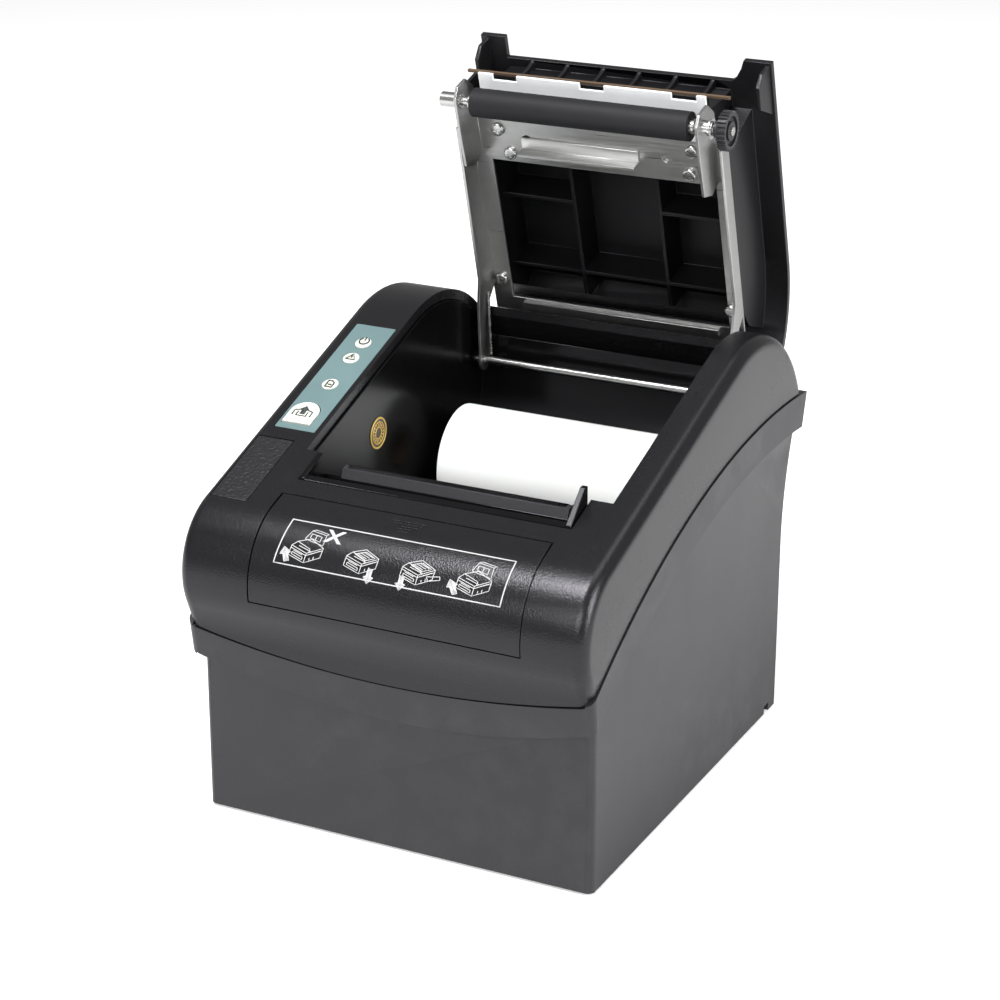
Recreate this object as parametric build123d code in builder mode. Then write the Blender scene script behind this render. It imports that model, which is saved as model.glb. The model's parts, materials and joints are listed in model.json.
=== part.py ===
from build123d import *
import math
import os

# Receipt printer with its lid open. Millimetres, +Z up, front towards -Y.
# The origin is the centre of the base's footprint on the surface it stands on.

# ---------------------------------------------------------------- overall sizes
base_width = 141.2
front_y = -79.2
rear_y = 78.6
foot_drop = 1.0
wall = 2.4
cover_width = 144.6
band_width = 145.6

# Side outline of the upper cover: two rounded corners between straight runs.
nose_corner = (-99.2, 101.6)
rear_corner = (77.2, 163.0)
rear_line_end = (96.0, 98.0)
nose_radius = 25.0
rear_radius = 49.0
cover_edge_radius = 4.5

# Seam between the casings: one long arc at the sides, a dip at the front.
seam_centre_y = 70.0
seam_centre_z = -155.4
seam_radius = 273.0
seam_front_z = 61.0
seam_corner_z = 68.3
seam_gap = 0.6
band_height = 12.4
band_front_z = 48.0
band_corner_z = 58.3

# Opening between the two arms of the cover.
opening_left = -49.0
opening_right = 61.0
opening_front = -46.4
opening_rear = 77.4
rim_depth = 3.5

# Lid: u runs from the hinge to the free end, v outwards, both turned with the lid.
hinge_y = 73.0
hinge_z = 117.0
lid_open_angle = 107.2
shaft_radius = 1.5
running_clearance = 0.05
side_clearance = 0.6
gap = 0.3
lid_length = 110.6
recess_u = 102.5
box_left = -42.8
box_right = 52.0
frame_v = 16.7
sheet = 1.0

# Paper path, centred between the arms a little right of the middle.
paper_x = 4.6
paper_width = 80.0
platen_radius = 5.0
platen_shaft_radius = 2.1
platen_u = 103.5
platen_v = 5.8
roll_radius = 19.4
core_radius = 8.5
core_wall = 2.2
bucket_radius = 42.2
bucket_y = 37.8
bucket_wall = 2.2
roll_clearance = 0.3

# Gear train: module, and tooth counts from the motor to the platen.
module = 0.5
pinion_teeth = 12
reduction_teeth = 44
reduction_small_teeth = 16
drive_teeth = 30
platen_teeth = 26
gear_left = 55.8

# Control arm.
label_x = -58.4
label_width = 15.2
label_low_y = -38.3
label_high_y = 18.4
label_thickness = 0.5
light_radius = 2.9
light_places = [(0, 9.4), (0, 0.3), (0, -15.0)]
feed_radius = 5.3
feed_place = (-1.2, -31.4)
feed_low = 6.2
feed_travel = 0.8
button_board_depth = 9.0
board_posts = [(-4.5, 15.0), (4.5, -24.0)]
button_left = -68.9
button_right = -55.5
button_low_y = -74.3
button_high_y = -43.8

# Cutter trough and cutter cover.
trough_left = -43.8
trough_right = 53.0
trough_front = -60.2
blade_y = -42.8
blade_top = 115.7
panel_left = -45.6
panel_right = 50.4
panel_top_y = -67.8
panel_bottom_z = 83.2
panel_gap = 0.35

os.makedirs("parts", exist_ok=True)

slope = math.atan2(rear_corner[1] - nose_corner[1], rear_corner[0] - nose_corner[0])
lid_swing = 180.0 + math.degrees(slope) - lid_open_angle


def save(piece, label):
    piece.part.label = label
    export_step(piece.part, f"parts/{label}.step")


# ---------------------------------------------------------------- planes and places
def side_plane(x):
    """Plane across X, drawn in (Y, Z), extruding towards +X."""
    return Plane(origin=(x, 0, 0), x_dir=(0, 1, 0), z_dir=(1, 0, 0))


def surface_z(y):
    """Height of the cover's sloping top at y."""
    return nose_corner[1] + (y - nose_corner[0]) * math.tan(slope)


rear_line = math.atan2(rear_line_end[1] - rear_corner[1], rear_line_end[0] - rear_corner[0])
rear_tangent = rear_radius * math.tan((slope - rear_line) / 2)
arc_y = rear_corner[0] - rear_tangent * math.cos(slope) + rear_radius * math.sin(slope)
arc_z = rear_corner[1] - rear_tangent * math.sin(slope) - rear_radius * math.cos(slope)


def rear_arc_point(angle, depth):
    """Point of the cover's rear rounding, angle measured from straight up."""
    reach = rear_radius - depth
    turned = math.radians(-angle)
    return (arc_y + reach * math.sin(turned), arc_z + reach * math.cos(turned))


def slope_plane(x, y, height=0.0):
    """Plane lying on the sloping top, local y running up the slope."""
    normal = (0, -math.sin(slope), math.cos(slope))
    origin = (x, y + normal[1] * height, surface_z(y) + normal[2] * height)
    return Plane(origin=origin, x_dir=(1, 0, 0), z_dir=normal)


lid_angle = math.radians(lid_open_angle)
lid_u = (0, math.cos(lid_angle), math.sin(lid_angle))
lid_v = (0, math.sin(lid_angle), -math.cos(lid_angle))


def lid_point(x, u, v):
    y = hinge_y + u * lid_u[1] + v * lid_v[1]
    z = hinge_z + u * lid_u[2] + v * lid_v[2]
    return (x, y, z)


def lid_side(x):
    """Plane across X on the lid, drawn in (u, v), extruding towards -X."""
    return Plane(origin=lid_point(x, 0, 0), x_dir=lid_u, z_dir=(-1, 0, 0))


def lid_face(v):
    """Plane parallel to the lid, drawn in (X, u), extruding towards smaller v."""
    normal = (0, -lid_v[1], -lid_v[2])
    return Plane(origin=lid_point(0, 0, v), x_dir=(1, 0, 0), z_dir=normal)


def closed_place(u, v):
    """(Y, Z) of a point of the lid when the lid is shut."""
    y = hinge_y - u * math.cos(slope) - v * math.sin(slope)
    z = hinge_z - u * math.sin(slope) + v * math.cos(slope)
    return (y, z)


platen_shut = closed_place(platen_u, platen_v)


def seam_z(y, drop):
    reach = seam_radius ** 2 - (y - seam_centre_y) ** 2
    return seam_centre_z - drop + math.sqrt(reach)


def feed_outline(grow):
    """Arch-shaped outline of the feed button, grown outwards."""
    with BuildSketch(mode=Mode.PRIVATE) as outline:
        with Locations(feed_place):
            Circle(feed_radius + grow)
        with Locations((feed_place[0], feed_place[1] - feed_low / 2)):
            Rectangle(2 * feed_radius + 2 * grow, feed_low + 2 * grow)
    return outline.sketch


# ---------------------------------------------------------------- shared volumes
FAR = 110.0
corner_x = cover_width / 2 - 2.0


def side_field(y_low, drop, x_low, x_high):
    """Space under the side arc between two X values, from y_low to the rear."""
    with BuildPart() as field:
        with BuildSketch(side_plane(x_low)):
            with BuildLine():
                middle = (y_low + FAR) / 2
                start = (y_low, seam_z(y_low, drop))
                end = (FAR, seam_z(FAR, drop))
                ThreePointArc(start, (middle, seam_z(middle, drop)), end)
                Polyline(end, (FAR, -20), (y_low, -20), start)
            make_face()
        extrude(amount=x_high - x_low)
    return field.part


def under_seam(drop, low_z, corner_z, front_limit):
    """Space below the side arc lowered by drop, dipping along the front."""
    left = side_field(-FAR, drop, -FAR, -corner_x)
    right = side_field(-FAR, drop, corner_x, FAR)
    middle = side_field(front_limit, drop, -corner_x, corner_x)
    with BuildPart() as space:
        with BuildSketch(Plane.XZ.offset(-front_limit)):
            with BuildLine():
                start = (-corner_x, corner_z)
                end = (corner_x, corner_z)
                ThreePointArc(start, (0, low_z), end)
                Polyline(end, (corner_x, -20), (-corner_x, -20), start)
            make_face()
        extrude(amount=FAR + front_limit)
        add(left)
        add(right)
        add(middle)
    return space.part


def cover_form(half_width, inset):
    """Solid of the cover's outer form, or of its inside with an inset."""
    with BuildPart() as form:
        with BuildSketch(side_plane(-half_width)):
            with BuildLine():
                start = (-84.3, 40.0)
                shoulder = (-85.7, 70.0)
                end = rear_line_end
                Line(start, shoulder)
                radii = [nose_radius, rear_radius]
                FilletPolyline(shoulder, nose_corner, rear_corner, end, radius=radii)
                Polyline(end, (96.0, 40.0), start)
            make_face()
            if inset:
                offset(amount=-inset, kind=Kind.INTERSECTION)
        extrude(amount=2 * half_width)
        if not inset:
            rounded = form.edges().filter_by(
                lambda edge: abs(abs(edge.center().X) - half_width) < 0.01
                and edge.center().Z > 45
            )
            fillet(rounded, cover_edge_radius)
    return form.part


# ---------------------------------------------------------------- lower casing
socket_base_z = 9.6
socket_face_y = rear_y - 0.6
sockets = {
    "power": (-46.0, 15.0, 14.0),
    "drawer": (-22.0, 14.0, 13.5),
    "network": (2.0, 16.0, 13.5),
    "data": (25.0, 12.5, 11.5),
}
socket_depth = 15.0
switch_x = 50.0
switch_z = 24.0
switch_width = 20.0
switch_height = 13.0

seam_front_limit = -80.5

with BuildPart() as band:
    with BuildSketch(side_plane(-band_width / 2)):
        with BuildLine():
            Polyline((-82.4, 40), (-82.4, 46), (-86.4, 70), (-86.4, 130), (96, 130))
            Polyline((96, 130), (93.2, 117.5), (89.0, 103.0), (89.0, 40), (-82.4, 40))
        make_face()
    extrude(amount=band_width)
    upright = band.edges().filter_by(
        lambda edge: abs(edge.center().X) > band_width / 2 - 0.1 and edge.center().Y < -82
    )
    fillet(upright, 4.0)
    add(under_seam(0, seam_front_z, seam_corner_z, seam_front_limit), mode=Mode.INTERSECT)
    add(under_seam(band_height, band_front_z, band_corner_z, front_y), mode=Mode.SUBTRACT)

with BuildPart() as lower_casing:
    with BuildSketch(side_plane(-base_width / 2)):
        with BuildLine():
            Polyline((86.5, 130), (front_y, 130), (front_y, foot_drop), (rear_y, foot_drop))
            Line((rear_y, foot_drop), (rear_y, 62))
            ThreePointArc((rear_y, 62), (80.6, 84), (86.5, 104))
            Line((86.5, 104), (86.5, 130))
        make_face()
    extrude(amount=base_width)
    fillet(lower_casing.edges().filter_by(Axis.Z).group_by(Axis.Y)[0], 2.5)
    add(under_seam(0, seam_front_z, seam_corner_z, seam_front_limit), mode=Mode.INTERSECT)
    add(band.part)
    # Hollow inside, following the flare at the front and the rear.
    with BuildSketch(side_plane(-base_width / 2 + wall)):
        with BuildLine():
            inner_front = front_y + wall
            inner_rear = rear_y - wall
            Polyline((inner_rear, -5), (inner_front, -5), (inner_front, 52), (-83.0, 68))
            Polyline((-83.0, 68), (-83.0, 135), (90.0, 135), (90.0, 116), (84.4, 104))
            ThreePointArc((84.4, 104), (78.2, 84), (inner_rear, 62))
            Line((inner_rear, 62), (inner_rear, -5))
        make_face()
    extrude(amount=base_width - 2 * wall, mode=Mode.SUBTRACT)
    # Windows for the sockets and the switch.
    for place_x, width, height in sockets.values():
        with Locations((place_x, rear_y, socket_base_z + height / 2)):
            Box(width + 1, 4 * wall, height + 1, mode=Mode.SUBTRACT)
    with Locations((switch_x, rear_y, switch_z)):
        Box(switch_width - 2, 4 * wall, switch_height - 2, mode=Mode.SUBTRACT)
    # Cable notch at the foot of the right side.
    with Locations((base_width / 2, 70.5, foot_drop)):
        Box(8, 4, 6, mode=Mode.SUBTRACT)
save(lower_casing, "lower_casing")

plate_thickness = 1.8
plate_top = foot_drop + plate_thickness
post_x = 36.0
post_front_y = -56.0
post_rear_y = -15.0
chassis_floor = 38.0
board_z = 8.0
board_front = -6.0
board_rear = 74.0
board_width = 118.0
board_screw_radius = 1.25
foot_places = [(-55, -64), (55, -64), (-55, 64), (55, 64)]
post_places = [(x + paper_x, y) for x in (-post_x, post_x) for y in (post_front_y, post_rear_y)]
standoff_places = [(x, y) for x in (-54, 54) for y in (0, 60)]
corner_screws = [(-62, -40), (62, -40), (-62, 40), (62, 40)]
post_radius = 4.0
foot_radius = 6.0

with BuildPart() as bottom_plate:
    plate_width = base_width - 2 * wall - 0.6
    plate_depth = rear_y - front_y - 2 * wall - 0.6
    with BuildSketch(Plane.XY.offset(foot_drop)):
        with Locations((0, (front_y + rear_y) / 2)):
            Rectangle(plate_width, plate_depth)
    extrude(amount=plate_thickness)
    with BuildSketch(Plane.XY.offset(plate_top)):
        with Locations(*post_places):
            Circle(post_radius)
    extrude(amount=chassis_floor - plate_top)
    with BuildSketch(Plane.XY.offset(plate_top)):
        with Locations(*standoff_places):
            Circle(3.0)
    extrude(amount=board_z - plate_top)
    with BuildSketch(Plane.XY.offset(foot_drop)):
        with Locations(*foot_places):
            Circle(foot_radius + 0.1)
    extrude(amount=1.0, mode=Mode.SUBTRACT)
    with BuildSketch(Plane.XY.offset(board_z - 3)):
        with Locations(*standoff_places):
            Circle(board_screw_radius)
    extrude(amount=3, mode=Mode.SUBTRACT)
    with BuildSketch(Plane.XY.offset(foot_drop)):
        with Locations(*corner_screws):
            Circle(1.7)
    extrude(amount=plate_thickness, mode=Mode.SUBTRACT)
save(bottom_plate, "bottom_plate")

with BuildPart() as rubber_feet:
    with BuildSketch(Plane.XY):
        with Locations(*foot_places):
            Circle(foot_radius)
    extrude(amount=foot_drop + 0.98)
    fillet(rubber_feet.edges().group_by(Axis.Z)[0], 0.4)
save(rubber_feet, "rubber_feet")

with BuildPart() as casing_screws:
    with BuildSketch(Plane.XY.offset(foot_drop)):
        with Locations(*corner_screws):
            Circle(1.6)
    extrude(amount=10)
    with BuildSketch(Plane.XY.offset(plate_top)):
        with Locations(*corner_screws):
            Circle(3.0)
    extrude(amount=1.2)
save(casing_screws, "casing_screws")

# ---------------------------------------------------------------- upper cover
cover_half = cover_width / 2
arm_left = opening_left - wall
arm_right = opening_right + wall
trough_gap = 0.4

with BuildPart() as upper_cover:
    add(cover_form(cover_half, 0))
    add(cover_form(cover_half - wall, wall), mode=Mode.SUBTRACT)
    # Rim hanging round the opening between the arms.
    with BuildSketch(side_plane(arm_left)):
        with BuildLine():
            front = opening_front - wall
            turn_y = 28.0
            Polyline((front, surface_z(front) - rim_depth), (front, surface_z(front) - 1.2))
            Line((front, surface_z(front) - 1.2), (turn_y, surface_z(turn_y) - 1.2))
            ThreePointArc(
                (turn_y, surface_z(turn_y) - 1.2), rear_arc_point(-12, 1.2), rear_arc_point(-42, 1.2)
            )
            Line(rear_arc_point(-42, 1.2), rear_arc_point(-42, rim_depth))
            ThreePointArc(
                rear_arc_point(-42, rim_depth), rear_arc_point(-12, rim_depth),
                (turn_y, surface_z(turn_y) - rim_depth),
            )
            Line((turn_y, surface_z(turn_y) - rim_depth), (front, surface_z(front) - rim_depth))
        make_face()
    extrude(amount=arm_right - arm_left)
    # The opening itself, stopping at the rear wall.
    with BuildSketch(Plane.XY.offset(90)):
        with Locations(((opening_left + opening_right) / 2, (opening_front + opening_rear) / 2)):
            Rectangle(opening_right - opening_left, opening_rear - opening_front)
    extrude(amount=90, mode=Mode.SUBTRACT)
    # Window for the cutter trough.
    with BuildSketch(Plane.XY.offset(60)):
        with Locations(((trough_left + trough_right) / 2, (trough_front + opening_front) / 2)):
            Rectangle(
                trough_right - trough_left + 2 * trough_gap,
                opening_front - trough_front + 2 * trough_gap,
            )
    extrude(amount=100, mode=Mode.SUBTRACT)
    # Window for the sliding cutter cover.
    with BuildSketch(Plane.XZ.offset(-panel_top_y - panel_gap)):
        with Locations(((panel_left + panel_right) / 2, 120)):
            Rectangle(panel_right - panel_left + 2 * panel_gap, 2 * (120 - panel_bottom_z + panel_gap))
    extrude(amount=60, mode=Mode.SUBTRACT)
    # Pocket for the label, then openings for the lights and the feed button.
    with BuildSketch(slope_plane(label_x, (label_low_y + label_high_y) / 2)):
        label_length = (label_high_y - label_low_y) / math.cos(slope)
        Rectangle(label_width + 0.2, label_length + 0.2)
    extrude(amount=-label_thickness, mode=Mode.SUBTRACT)
    with BuildSketch(slope_plane(label_x, 0)):
        with Locations(*light_places):
            Circle(light_radius)
        add(feed_outline(gap))
    extrude(amount=-2 * wall, mode=Mode.SUBTRACT)
    # Posts holding the button board.
    with BuildSketch(slope_plane(label_x, 0, 0.3 - wall)):
        with Locations(*board_posts):
            Circle(2.0)
    extrude(amount=-button_board_depth + wall - 0.3)
    # Window for the release button.
    with BuildSketch(slope_plane((button_left + button_right) / 2, (button_low_y + button_high_y) / 2)):
        button_length = (button_high_y - button_low_y) / math.cos(slope)
        Rectangle(button_right - button_left + 2 * gap, button_length + 2 * gap)
    extrude(amount=30, both=True, mode=Mode.SUBTRACT)
    add(
        under_seam(-seam_gap, seam_front_z + seam_gap, seam_corner_z + seam_gap, seam_front_limit),
        mode=Mode.SUBTRACT,
    )
save(upper_cover, "upper_cover")

# ---------------------------------------------------------------- control arm
label_middle = (label_low_y + label_high_y) / 2

with BuildPart() as control_label:
    with BuildSketch(slope_plane(label_x, label_middle, -label_thickness)):
        Rectangle(label_width, label_length)
        fillet(vertices(), 0.5)
    extrude(amount=label_thickness)
    with BuildSketch(slope_plane(label_x, 0, -2 * label_thickness)):
        with Locations(*light_places):
            Circle(light_radius)
        add(feed_outline(gap))
    extrude(amount=4 * label_thickness, mode=Mode.SUBTRACT)
save(control_label, "control_label")

with BuildPart() as light_windows:
    with BuildSketch(slope_plane(label_x, 0, -wall)):
        with Locations(*light_places):
            Circle(light_radius - 0.05)
    extrude(amount=wall + 0.2)
save(light_windows, "light_windows")

with BuildPart() as feed_button:
    with BuildSketch(slope_plane(label_x, 0, -wall - 1.0)):
        add(feed_outline(0))
    extrude(amount=wall + 1.5)
    fillet(feed_button.faces().sort_by(Axis.Z)[-1].edges(), 0.4)
    with BuildSketch(slope_plane(label_x, 0, -wall - 1.0)):
        with Locations(feed_place):
            Circle(1.5)
    extrude(amount=-2.0)
save(feed_button, "feed_button")

board_thickness = 1.6
with BuildPart() as button_board:
    with BuildSketch(slope_plane(label_x, -10, -button_board_depth)):
        Rectangle(13, 58)
    extrude(amount=-board_thickness)
    with BuildSketch(slope_plane(label_x, 0, -button_board_depth)):
        with Locations(*light_places):
            Circle(1.5)
    extrude(amount=4.5)
    with BuildSketch(slope_plane(label_x, 0, -button_board_depth)):
        with Locations(feed_place):
            Rectangle(6, 6)
    extrude(amount=button_board_depth - wall - 3.0 - feed_travel - 0.2)
save(button_board, "button_board")

button_middle = ((button_left + button_right) / 2, (button_low_y + button_high_y) / 2)
with BuildPart() as release_button:
    add(cover_form(cover_half, 0))
    add(cover_form(cover_half - wall, wall), mode=Mode.SUBTRACT)
    with BuildSketch(slope_plane(*button_middle, -9.0)):
        Rectangle(button_right - button_left, button_length)
    extrude(amount=12.0, mode=Mode.INTERSECT)
    with BuildSketch(slope_plane(*button_middle, -wall + 0.4)):
        Rectangle(6, 14)
    extrude(amount=-9.0)
save(release_button, "release_button")

# ---------------------------------------------------------------- cutter cover
with BuildPart() as cutter_cover:
    add(cover_form(cover_half, 0))
    add(cover_form(cover_half - wall, wall), mode=Mode.SUBTRACT)
    with BuildSketch(Plane.XZ.offset(-panel_top_y)):
        with BuildLine():
            low = panel_bottom_z
            Polyline(
                (panel_left, low), (panel_right, low), (panel_right, 108), (panel_right - 1, 122),
                (panel_left + 1, 122), (panel_left, 108), (panel_left, low),
            )
        make_face()
    extrude(amount=60, mode=Mode.INTERSECT)
save(cutter_cover, "cutter_cover")

# ---------------------------------------------------------------- cutter trough
deck_top = 104.0
deck_rear = -47.5
fin_width = 1.9
with BuildPart() as tear_trough:
    with BuildSketch(side_plane(trough_left)):
        with BuildLine():
            lip_z = surface_z(trough_front)
            Polyline(
                (trough_front, deck_top), (trough_front, lip_z), (trough_front + 2.6, lip_z + 0.8),
                (-54.0, deck_top + 2.2), (-48.4, deck_top + 2.2), (-46.6, 112.0),
                (-45.0, 112.0), (deck_rear, deck_top), (trough_front, deck_top),
            )
        make_face()
    extrude(amount=trough_right - trough_left)
    # Left end follows the slope; the right one rises into a fin.
    for fin_x, fin_top in (
        (trough_left, (-48.0, surface_z(-48.0) + 0.9)),
        (trough_right - fin_width, (-49.8, 125.0)),
    ):
        with BuildSketch(side_plane(fin_x)):
            Polygon(
                (trough_front, deck_top + 1), (trough_front, surface_z(trough_front) + 0.6),
                fin_top, (-48.0, fin_top[1]), (-47.8, deck_top + 1), align=None,
            )
        extrude(amount=fin_width)
save(tear_trough, "tear_trough")

blade_half = 40.8
tooth_pitch = 1.1
tooth_count = 74
with BuildPart() as tear_blade:
    with BuildSketch(side_plane(paper_x - blade_half)):
        Polygon(
            (-46.4, 112.0), (-45.3, 115.0), (blade_y, blade_top), (-41.8, 114.6),
            (-42.8, 112.0), align=None,
        )
    extrude(amount=2 * blade_half)
    # Serrations along the upper edge.
    with BuildSketch(Plane.XZ.offset(-blade_y + 3)):
        with Locations((paper_x, blade_top)):
            with GridLocations(tooth_pitch, 0, tooth_count, 1):
                Rectangle(0.75, 0.75, rotation=45)
    extrude(amount=-6, mode=Mode.SUBTRACT)
save(tear_blade, "tear_blade")

# ---------------------------------------------------------------- chassis
plate_left = -46.4
plate_right = 49.6
plate_sheet = 1.2
chassis_front = -66.0
chassis_rear = -9.0
slot_clearance = 0.35
bush_radius = 2.6
cross_y = -46.0
motor_radius = 12.5
motor_length = 20.0


def gear_at(centre, direction, distance):
    turned = math.radians(direction)
    return (centre[0] + distance * math.cos(turned), centre[1] + distance * math.sin(turned))


drive_direction = 227.0
reduction_direction = 270.0
pinion_direction = 200.0
mesh_play = 0.03
drive_place = gear_at(
    platen_shut, drive_direction, (platen_teeth + drive_teeth) * module / 2 + mesh_play
)
reduction_place = gear_at(
    drive_place, reduction_direction, (drive_teeth + reduction_small_teeth) * module / 2 + mesh_play
)
pinion_place = gear_at(
    reduction_place, pinion_direction, (reduction_teeth + pinion_teeth) * module / 2 + mesh_play
)
axle_radius = 1.5

slot_width = 2 * bush_radius + 2 * slot_clearance + 1.2
with BuildPart() as chassis:
    with BuildSketch(Plane.XY.offset(chassis_floor)):
        with Locations(((plate_left + plate_right + plate_sheet) / 2, (chassis_front + chassis_rear) / 2)):
            Rectangle(plate_right + plate_sheet - plate_left, chassis_rear - chassis_front)
    extrude(amount=plate_sheet)
    for plate_x in (plate_left, plate_right):
        with BuildSketch(side_plane(plate_x)):
            Polygon(
                (chassis_front, chassis_floor), (chassis_front, deck_top), (-41.0, deck_top),
                (-37.6, 96.0), (-20.6, 94.0), (-20.6, 60.0), (chassis_rear, 46.0),
                (chassis_rear, chassis_floor), align=None,
            )
            # Slot the platen's bush drops into, open towards the lid's arc.
            with Locations(platen_shut):
                Circle(bush_radius + slot_clearance, mode=Mode.SUBTRACT)
            with Locations(gear_at(platen_shut, 104.0, 10.0)):
                Rectangle(20.0, slot_width, rotation=104.0, mode=Mode.SUBTRACT)
        extrude(amount=plate_sheet)
    # Deck under the trough, split for the cutter's shaft.
    with BuildSketch(Plane.XY.offset(deck_top - plate_sheet)):
        with Locations(((plate_left + plate_right + plate_sheet) / 2, (chassis_front + deck_rear) / 2)):
            Rectangle(plate_right + plate_sheet - plate_left, deck_rear - chassis_front)
    extrude(amount=plate_sheet)
    # Cross wall behind the print head's springs.
    with BuildSketch(Plane.XY.offset(chassis_floor)):
        with Locations(((plate_left + 27.0) / 2, cross_y)):
            Rectangle(27.0 - plate_left, plate_sheet)
    extrude(amount=92.0 - chassis_floor)
    # Fixed axles of the gears; the drive gear's stops short of the large wheel.
    for axle_place, axle_length in ((drive_place, gear_left - 47.6), (reduction_place, gear_left - 43.8)):
        with BuildSketch(side_plane(plate_right + plate_sheet - 0.2)):
            with Locations(axle_place):
                Circle(axle_radius)
        extrude(amount=axle_length)
    # Bore for the feed motor's shaft.
    with BuildSketch(side_plane(plate_right)):
        with Locations(pinion_place):
            Circle(2.6)
    extrude(amount=plate_sheet, mode=Mode.SUBTRACT)
save(chassis, "chassis")

with BuildPart() as chassis_screws:
    with BuildSketch(Plane.XY.offset(chassis_floor + plate_sheet)):
        with Locations(*post_places):
            Circle(3.0)
    extrude(amount=1.6)
save(chassis_screws, "chassis_screws")

head_left = paper_x - 41.0
head_right = paper_x + 41.0
head_face = platen_shut[0] - platen_radius - 0.1
head_top = platen_shut[1] + 2.6
head_thickness = 2.2

with BuildPart() as print_head:
    with BuildSketch(side_plane(head_left)):
        Polygon(
            (head_face, head_top), (head_face, 70.0), (head_face - head_thickness, 70.0),
            (head_face - head_thickness, head_top), align=None,
        )
    extrude(amount=head_right - head_left)
save(print_head, "print_head")

sink_face = head_face - head_thickness
with BuildPart() as heat_sink:
    with BuildSketch(side_plane(head_left)):
        Polygon(
            (sink_face, head_top - 1), (sink_face, chassis_floor + plate_sheet),
            (sink_face - 2.6, chassis_floor + plate_sheet), (sink_face - 2.6, head_top - 1),
            align=None,
        )
    extrude(amount=62.0)
save(heat_sink, "heat_sink")

spring_y = sink_face - 2.6
with BuildPart() as head_springs:
    with BuildSketch(Plane.XZ.offset(-spring_y)):
        with Locations((-24.0, 82.0), (0.0, 82.0), (20.0, 82.0)):
            Circle(3.0)
            Circle(2.0, mode=Mode.SUBTRACT)
    extrude(amount=spring_y - cross_y - plate_sheet / 2)
save(head_springs, "head_springs")

with BuildPart() as feed_motor:
    with BuildSketch(side_plane(plate_right)):
        with Locations(pinion_place):
            Circle(motor_radius)
    extrude(amount=-motor_length)
    with BuildSketch(side_plane(plate_right - 1.6)):
        with Locations(pinion_place):
            Rectangle(2 * motor_radius + 6, 9)
    extrude(amount=1.6)
save(feed_motor, "feed_motor")

cutter_x = -14.0
cutter_y = -56.5
cutter_radius = 7.5
with BuildPart() as cutter_motor:
    with BuildSketch(Plane.XY.offset(chassis_floor + plate_sheet)):
        with Locations((cutter_x, cutter_y)):
            Circle(cutter_radius)
    extrude(amount=50.0)
save(cutter_motor, "cutter_motor")

# ---------------------------------------------------------------- gears
def mate_phase(phase, teeth, mate_teeth, direction):
    """Angle of a tooth of the mating gear, so that teeth and spaces meet."""
    lead = (direction - phase) * teeth / mate_teeth
    return direction + 180 + lead + 180 / mate_teeth


tooth_share = 0.42
tooth_rise = 0.22
tooth_depth = 0.5


def gear_body(left, width, centre, teeth, phase, bore):
    pitch_radius = module * teeth / 2
    root = pitch_radius - tooth_depth
    tip = pitch_radius + tooth_rise
    half_root = math.pi * pitch_radius / teeth * tooth_share * 1.5
    half_tip = half_root * 0.5
    with BuildPart() as gear:
        with BuildSketch(side_plane(left)):
            with Locations(centre):
                Circle(root)
                for tooth in range(teeth):
                    angle = phase + 360 * tooth / teeth
                    with Locations(Location((0, 0, 0), (0, 0, angle))):
                        Polygon(
                            (root - 0.2, -half_root), (tip, -half_tip), (tip, half_tip),
                            (root - 0.2, half_root), align=None,
                        )
                if bore:
                    Circle(bore, mode=Mode.SUBTRACT)
        extrude(amount=width)
    return gear.part


drive_phase = drive_direction - 180.0
small_phase = mate_phase(drive_phase, drive_teeth, reduction_small_teeth, reduction_direction)
pinion_phase = mate_phase(pinion_direction, reduction_teeth, pinion_teeth, pinion_direction)
platen_gear_phase = drive_direction - lid_swing - 180 / platen_teeth
axle_bore = axle_radius + running_clearance
layer_width = 3.0
gear_width = 3.2
outer_layer = gear_left + layer_width + 0.6

with BuildPart() as drive_gear:
    add(gear_body(gear_left, layer_width, drive_place, drive_teeth, drive_phase, axle_bore))
save(drive_gear, "drive_gear")

with BuildPart() as reduction_gear:
    add(gear_body(
        gear_left, layer_width + 0.6, reduction_place, reduction_small_teeth, small_phase, axle_bore
    ))
    add(gear_body(
        outer_layer, layer_width, reduction_place, reduction_teeth, pinion_direction, axle_bore
    ))
save(reduction_gear, "reduction_gear")

with BuildPart() as motor_pinion:
    add(gear_body(outer_layer, layer_width, pinion_place, pinion_teeth, pinion_phase, 0))
    with BuildSketch(side_plane(plate_right + 0.3)):
        with Locations(pinion_place):
            Circle(1.2)
    extrude(amount=outer_layer - plate_right)
save(motor_pinion, "motor_pinion")

# ---------------------------------------------------------------- cutter blade
knife_z = 97.6
with BuildPart() as cutter_blade:
    with BuildSketch(Plane.XY.offset(knife_z)):
        with Locations((paper_x, -51.7)):
            Rectangle(82.0, 24.0)
        # Shallow V of the cutting edge.
        with Locations((paper_x, -39.7)):
            Polygon((-41, 0), (0, -1.6), (41, 0), align=None, mode=Mode.SUBTRACT)
    extrude(amount=1.0)
save(cutter_blade, "cutter_blade")

with BuildPart() as blade_guides:
    with BuildSketch(Plane.XY.offset(knife_z - 0.4)):
        with Locations((plate_left + plate_sheet + 3.6, -54), (plate_right - 1.6, -54)):
            Rectangle(3.2, 14)
    extrude(amount=deck_top - plate_sheet - knife_z + 0.4)
save(blade_guides, "blade_guides")

# ---------------------------------------------------------------- boards and sockets
with BuildPart() as main_board:
    with BuildSketch(Plane.XY.offset(board_z)):
        with Locations((0, (board_front + board_rear) / 2)):
            Rectangle(board_width, board_rear - board_front)
    extrude(amount=board_thickness)
    with Locations(*[(x, y, board_z + board_thickness / 2) for x, y in standoff_places]):
        Cylinder(1.3, 2 * board_thickness, mode=Mode.SUBTRACT)
save(main_board, "main_board")

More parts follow.
